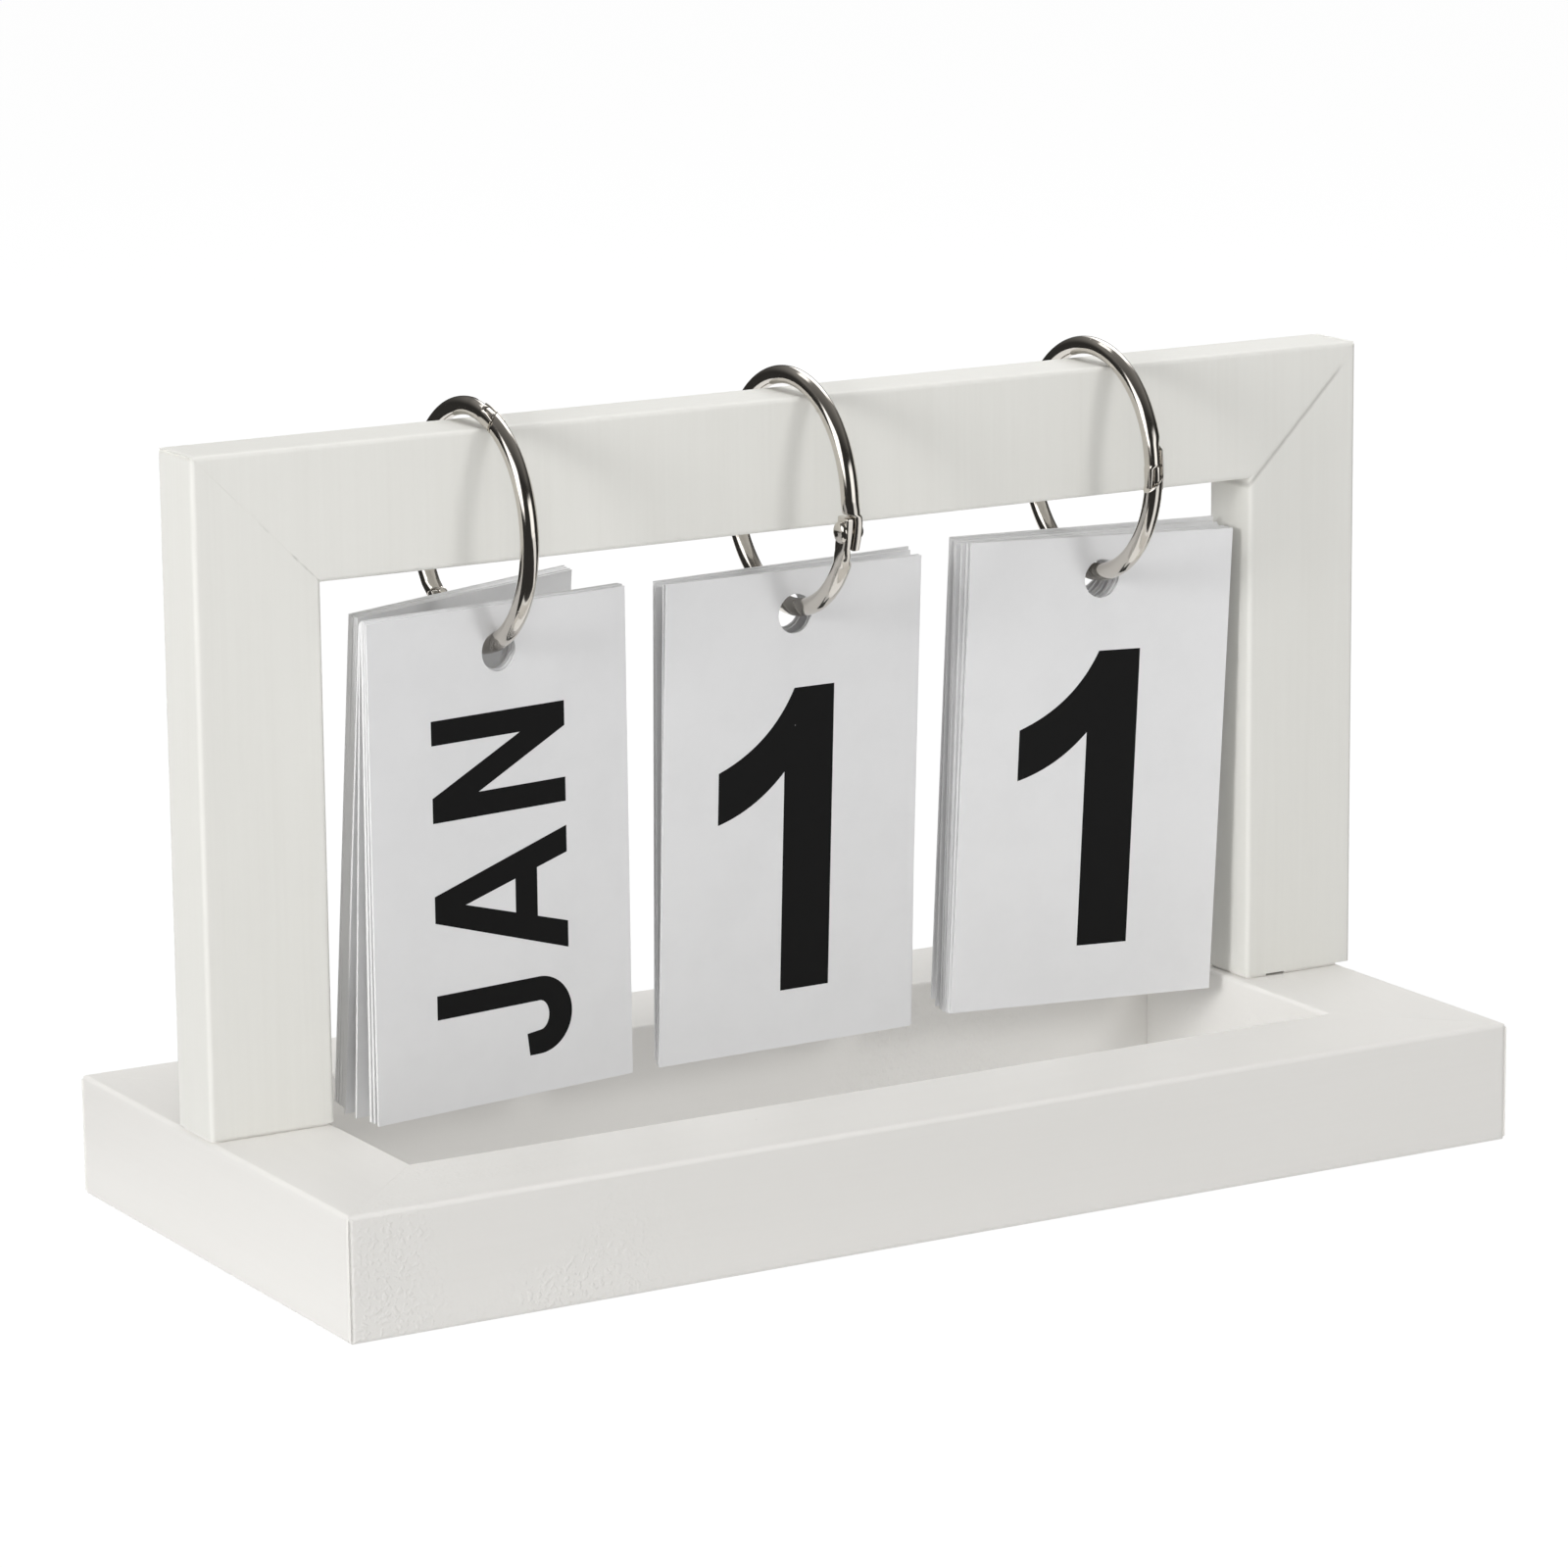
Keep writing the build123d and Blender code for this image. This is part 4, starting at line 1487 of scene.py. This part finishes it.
@dataclass(frozen=True)
class SoftBox:
    """A soft area light that looks at the object."""

    name: str
    azimuth: float
    elevation: float
    distance: float
    width: float
    height: float
    power: float

    def build(self, aim: Vector) -> None:
        """Place the light so that it looks at a point."""
        data = bpy.data.lights.new(self.name, "AREA")
        data.shape = "RECTANGLE"
        data.size, data.size_y = self.width, self.height
        data.energy = self.power
        lamp = linked(self.name, data)
        back = direction(self.azimuth, self.elevation)
        lamp.location = aim + back * self.distance
        lamp.rotation_euler = back.to_track_quat("Z", "Y").to_euler()
        lamp.visible_glossy = False
        log.info("lit %s", self.name)


@dataclass(frozen=True)
class GlowPanel:
    """A white screen that only shiny surfaces show, bright in its middle and fading to its rim."""

    name: str
    azimuth: float
    elevation: float
    distance: float
    width: float
    height: float
    level: float
    soft: float = 0.5

    def build(self, aim: Vector) -> None:
        """Place the screen so that it looks at a point."""
        half_x, half_y = self.width / 2, self.height / 2
        material = bpy.data.materials.new(self.name)
        graph = NodeGraph.fresh(material)
        place = graph.add("ShaderNodeSeparateXYZ")
        graph.feed(place.inputs[0], graph.place())
        share: object = self.level
        for axis, half in (("X", half_x), ("Y", half_y)):
            reach = graph.maths("ABSOLUTE", place.outputs[axis])
            share = graph.times(share, graph.ramp(reach, half, half * (1.0 - self.soft)))
        both = graph.add("ShaderNodeAddShader")
        graph.feed(both.inputs[0], graph.glow(share).outputs[0])
        graph.feed(both.inputs[1], graph.add("ShaderNodeBsdfTransparent").outputs[0])
        graph.show(both)
        panel = plain_mesh(self.name, rectangle(half_x, half_y, 0.0), [(0, 1, 2, 3)], material)
        back = direction(self.azimuth, self.elevation)
        panel.location = aim + back * self.distance
        panel.rotation_euler = back.to_track_quat("Z", "Y").to_euler()
        only_shiny(panel)


def only_shiny(screen: bpy.types.Object) -> None:
    """Keep a screen of the studio out of sight, so that only shiny surfaces show it."""
    screen.visible_camera = False
    screen.visible_diffuse = False
    screen.visible_shadow = False
    log.info("set up %s", screen.name)


@dataclass(frozen=True)
class PhotoCamera:
    """The photograph's viewpoint, found from the stand's corners in it."""

    azimuth: float = -30.19
    elevation: float = 12.39
    roll: float = -0.564
    distance: float = 1083.3 * MM
    aim: Triple = (-4.2 * MM, 0.0, 69.6 * MM)
    focal_pixels: float = 6346.0
    image_pixels: float = 1600.0
    sensor_mm: float = 36.0

    def build(self) -> None:
        """Create the camera and make it the scene's own."""
        data = bpy.data.cameras.new("photo_camera")
        data.sensor_fit = "HORIZONTAL"
        data.sensor_width = self.sensor_mm
        data.lens = self.focal_pixels / self.image_pixels * self.sensor_mm
        back = direction(self.azimuth, self.elevation)
        level = Vector((0, 0, 1)).cross(back).normalized()
        right = Matrix.Rotation(math.radians(self.roll), 3, back) @ level
        axes = Matrix((right, back.cross(right), back)).transposed().to_4x4()
        camera = linked("photo_camera", data)
        camera.matrix_world = Matrix.Translation(Vector(self.aim) + back * self.distance) @ axes
        bpy.context.scene.camera = camera


@dataclass(frozen=True)
class Studio:
    """White floor and backdrop, soft boxes, the dim room that metal shows, and the camera.

    Each of dark_floors is a sector of the floor: two points of its near edge, and the azimuths
    that its sides run out along from them, by dark_reach times the room's half width.
    """

    floor_size: float = 14.0
    floor_drop: float = 0.2 * MM
    floor_grey: Colour = (0.5, 0.5, 0.5)
    floor_level: float = 1.14
    floor_glow: float = 0.38
    floor_white: float = 0.85
    surround: float = 0.205
    room_half: float = 2.6
    room_height: float = 2.6
    room_dark: float = 0.035
    room_pale: float = 0.3
    room_colour: Colour = (1.0, 0.97, 0.93)
    pale_side: Triple = (0.25, 0.35, 0.9)
    pale_from: float = 0.4
    pale_to: float = 1.4
    aim: Triple = (0.0, 0.0, 0.07)
    lamps: tuple[SoftBox, ...] = (
        SoftBox("top_box", 0.0, 85.0, 1.2, 0.6, 0.6, 5.2),
        SoftBox("left_box", -74.0, 15.0, 1.2, 0.35, 0.35, 6.7),
        SoftBox("front_left_box", -30.0, 16.0, 1.2, 0.5, 0.5, 1.25),
        SoftBox("front_right_box", 17.0, 20.0, 1.2, 0.22, 0.22, 2.2),
        SoftBox("back_box", 180.0, 50.0, 1.2, 0.6, 0.6, 2.8),
        SoftBox("back_right_box", 130.0, 40.0, 1.2, 0.7, 0.7, 1.1),
    )
    panels: tuple[GlowPanel, ...] = (
        GlowPanel("left_panel", -82.0, 28.0, 1.2, 1.1, 1.1, 2.4),
        GlowPanel("front_panel", 18.0, 14.0, 1.2, 1.25, 0.85, 1.5),
        GlowPanel("back_panel", 135.0, 38.0, 1.2, 0.9, 1.0, 2.2),
        GlowPanel("upper_back_panel", 180.0, 58.0, 1.2, 0.6, 0.4, 1.6),
    )
    dark_floors: tuple[tuple[Point, Point, float, float], ...] = (
        ((-0.135, -0.072), (0.075, -0.072), -62.0, 4.0),
        ((-0.135, 0.06), (-0.135, -0.072), -118.0, -62.0),
        ((-0.1, 0.16), (-0.135, 0.06), 172.0, 242.0),
        ((0.16, -0.075), (0.16, 0.12), 42.0, 115.0),
    )
    dark_lift: float = 0.5 * MM
    dark_reach: float = 2.5

    def build(self) -> None:
        """Make the whole studio."""
        for light in (*self.lamps, *self.panels):
            light.build(Vector(self.aim))
        self._world()
        self._floor()
        self._dark_room()
        self._dark_floor()
        PhotoCamera().build()
        bpy.context.scene.view_settings.view_transform = "Standard"

    def _seen_directly(self, graph: NodeGraph) -> Socket:
        """1 for rays that show the backdrop itself: from the camera, off metal or through glass."""
        rays = graph.add("ShaderNodeLightPath").outputs
        seen = graph.maths("MAXIMUM", rays["Is Camera Ray"], rays["Is Glossy Ray"])
        return graph.maths("MAXIMUM", seen, rays["Is Transmission Ray"])

    def _world(self) -> None:
        """White where it is seen, a plain grey light elsewhere."""
        world = bpy.data.worlds.new("studio")
        graph = NodeGraph.fresh(world)
        background = graph.add("ShaderNodeBackground")
        background.inputs["Color"].default_value = (*WHITE, 1.0)
        level = graph.line(self._seen_directly(graph), 1.0 - self.surround, self.surround)
        graph.feed(background.inputs["Strength"], level)
        graph.show(background, "ShaderNodeOutputWorld")
        bpy.context.scene.world = world

    def _floor(self) -> None:
        """Pale floor that shows white and keeps a soft shadow."""
        material = bpy.data.materials.new("floor")
        graph = NodeGraph.fresh(material)
        matt = graph.add("ShaderNodeBsdfDiffuse")
        matt.inputs["Color"].default_value = (*self.floor_grey, 1.0)
        mixed = graph.add("ShaderNodeMixShader")
        share = graph.line(self._seen_directly(graph), self.floor_white - self.floor_glow, self.floor_glow)
        graph.feed(mixed.inputs["Fac"], share)
        graph.feed(mixed.inputs[1], matt.outputs[0])
        graph.feed(mixed.inputs[2], graph.glow(self.floor_level).outputs[0])
        graph.show(mixed)
        half = self.floor_size / 2
        floor = plain_mesh("floor", rectangle(half, half, -self.floor_drop), [(0, 1, 2, 3)], material)

    def _dim(self, name: str, corners: list, faces: list) -> None:
        """Add dim surroundings that only metal shows, lighter high up and to the back right."""
        material = bpy.data.materials.new(name)
        graph = NodeGraph.fresh(material)
        rise = graph.vector("DOT_PRODUCT", graph.place(), self.pale_side).outputs["Value"]
        share = graph.ramp(rise, self.pale_from * self.room_height, self.pale_to * self.room_height)
        level = graph.line(share, self.room_pale - self.room_dark, self.room_dark)
        graph.show(graph.glow(level, self.room_colour))
        only_shiny(plain_mesh(name, corners, faces, material))

    def _dark_room(self) -> None:
        """Dim walls and ceiling."""
        half, top = self.room_half, self.room_height
        plan = ((-half, half), (-half, -half), (half, -half), (half, half))
        corners = [(x, y, z) for z in (0.0, top) for x, y in plan]
        walls = [(0, 1, 5, 4), (1, 2, 6, 5), (2, 3, 7, 6), (3, 0, 4, 7), (4, 5, 6, 7)]
        self._dim("dark_room", corners, walls)

    def _dark_floor(self) -> None:
        """Dim floor past the white sheet, in sectors that spread out beyond the walls."""
        corners: list[Vector] = []
        faces = []
        for first, last, first_turn, last_turn in self.dark_floors:
            base = len(corners)
            faces.append((base, base + 1, base + 2, base + 3))
            near = [Vector((*point, self.dark_lift)) for point in (first, last)]
            turns = (first_turn, last_turn)
            outwards = [direction(turn, 0.0) * self.dark_reach * self.room_half for turn in turns]
            corners.extend((near[0], near[1], near[1] + outwards[1], near[0] + outwards[0]))
        self._dim("dark_floor", corners, faces)


def main() -> None:
    """Build the calendar's looks and the studio round it."""
    logging.basicConfig(level=logging.INFO, format="%(name)s: %(message)s")
    clear_start_objects()
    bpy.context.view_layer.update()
    effects = Effects()
    Stand(effects).build()
    plate = Nickel().material("nickel", effects)
    stock = CardStock().material("card_stock", effects)
    ink = Ink().material("ink", effects)
    months = ("JAN", "FEB", "MAR", "APR", "MAY", "JUN", "JUL", "AUG", "SEP", "OCT", "NOV", "DEC")
    packs = (
        CardPack("month", Script.MONTH, months),
        CardPack("tens", Script.DAY, tuple("1230")),
        CardPack("units", Script.DAY, tuple("1234567890")),
    )
    rings = (BookRing("month", 16.0), BookRing("tens", 282.0), BookRing("units", 86.0))
    for ring in rings:
        ring.build(plate)
    for pack in packs:
        pack.build(stock, ink)
    Studio().build()


if __name__ == "__main__":
    main()
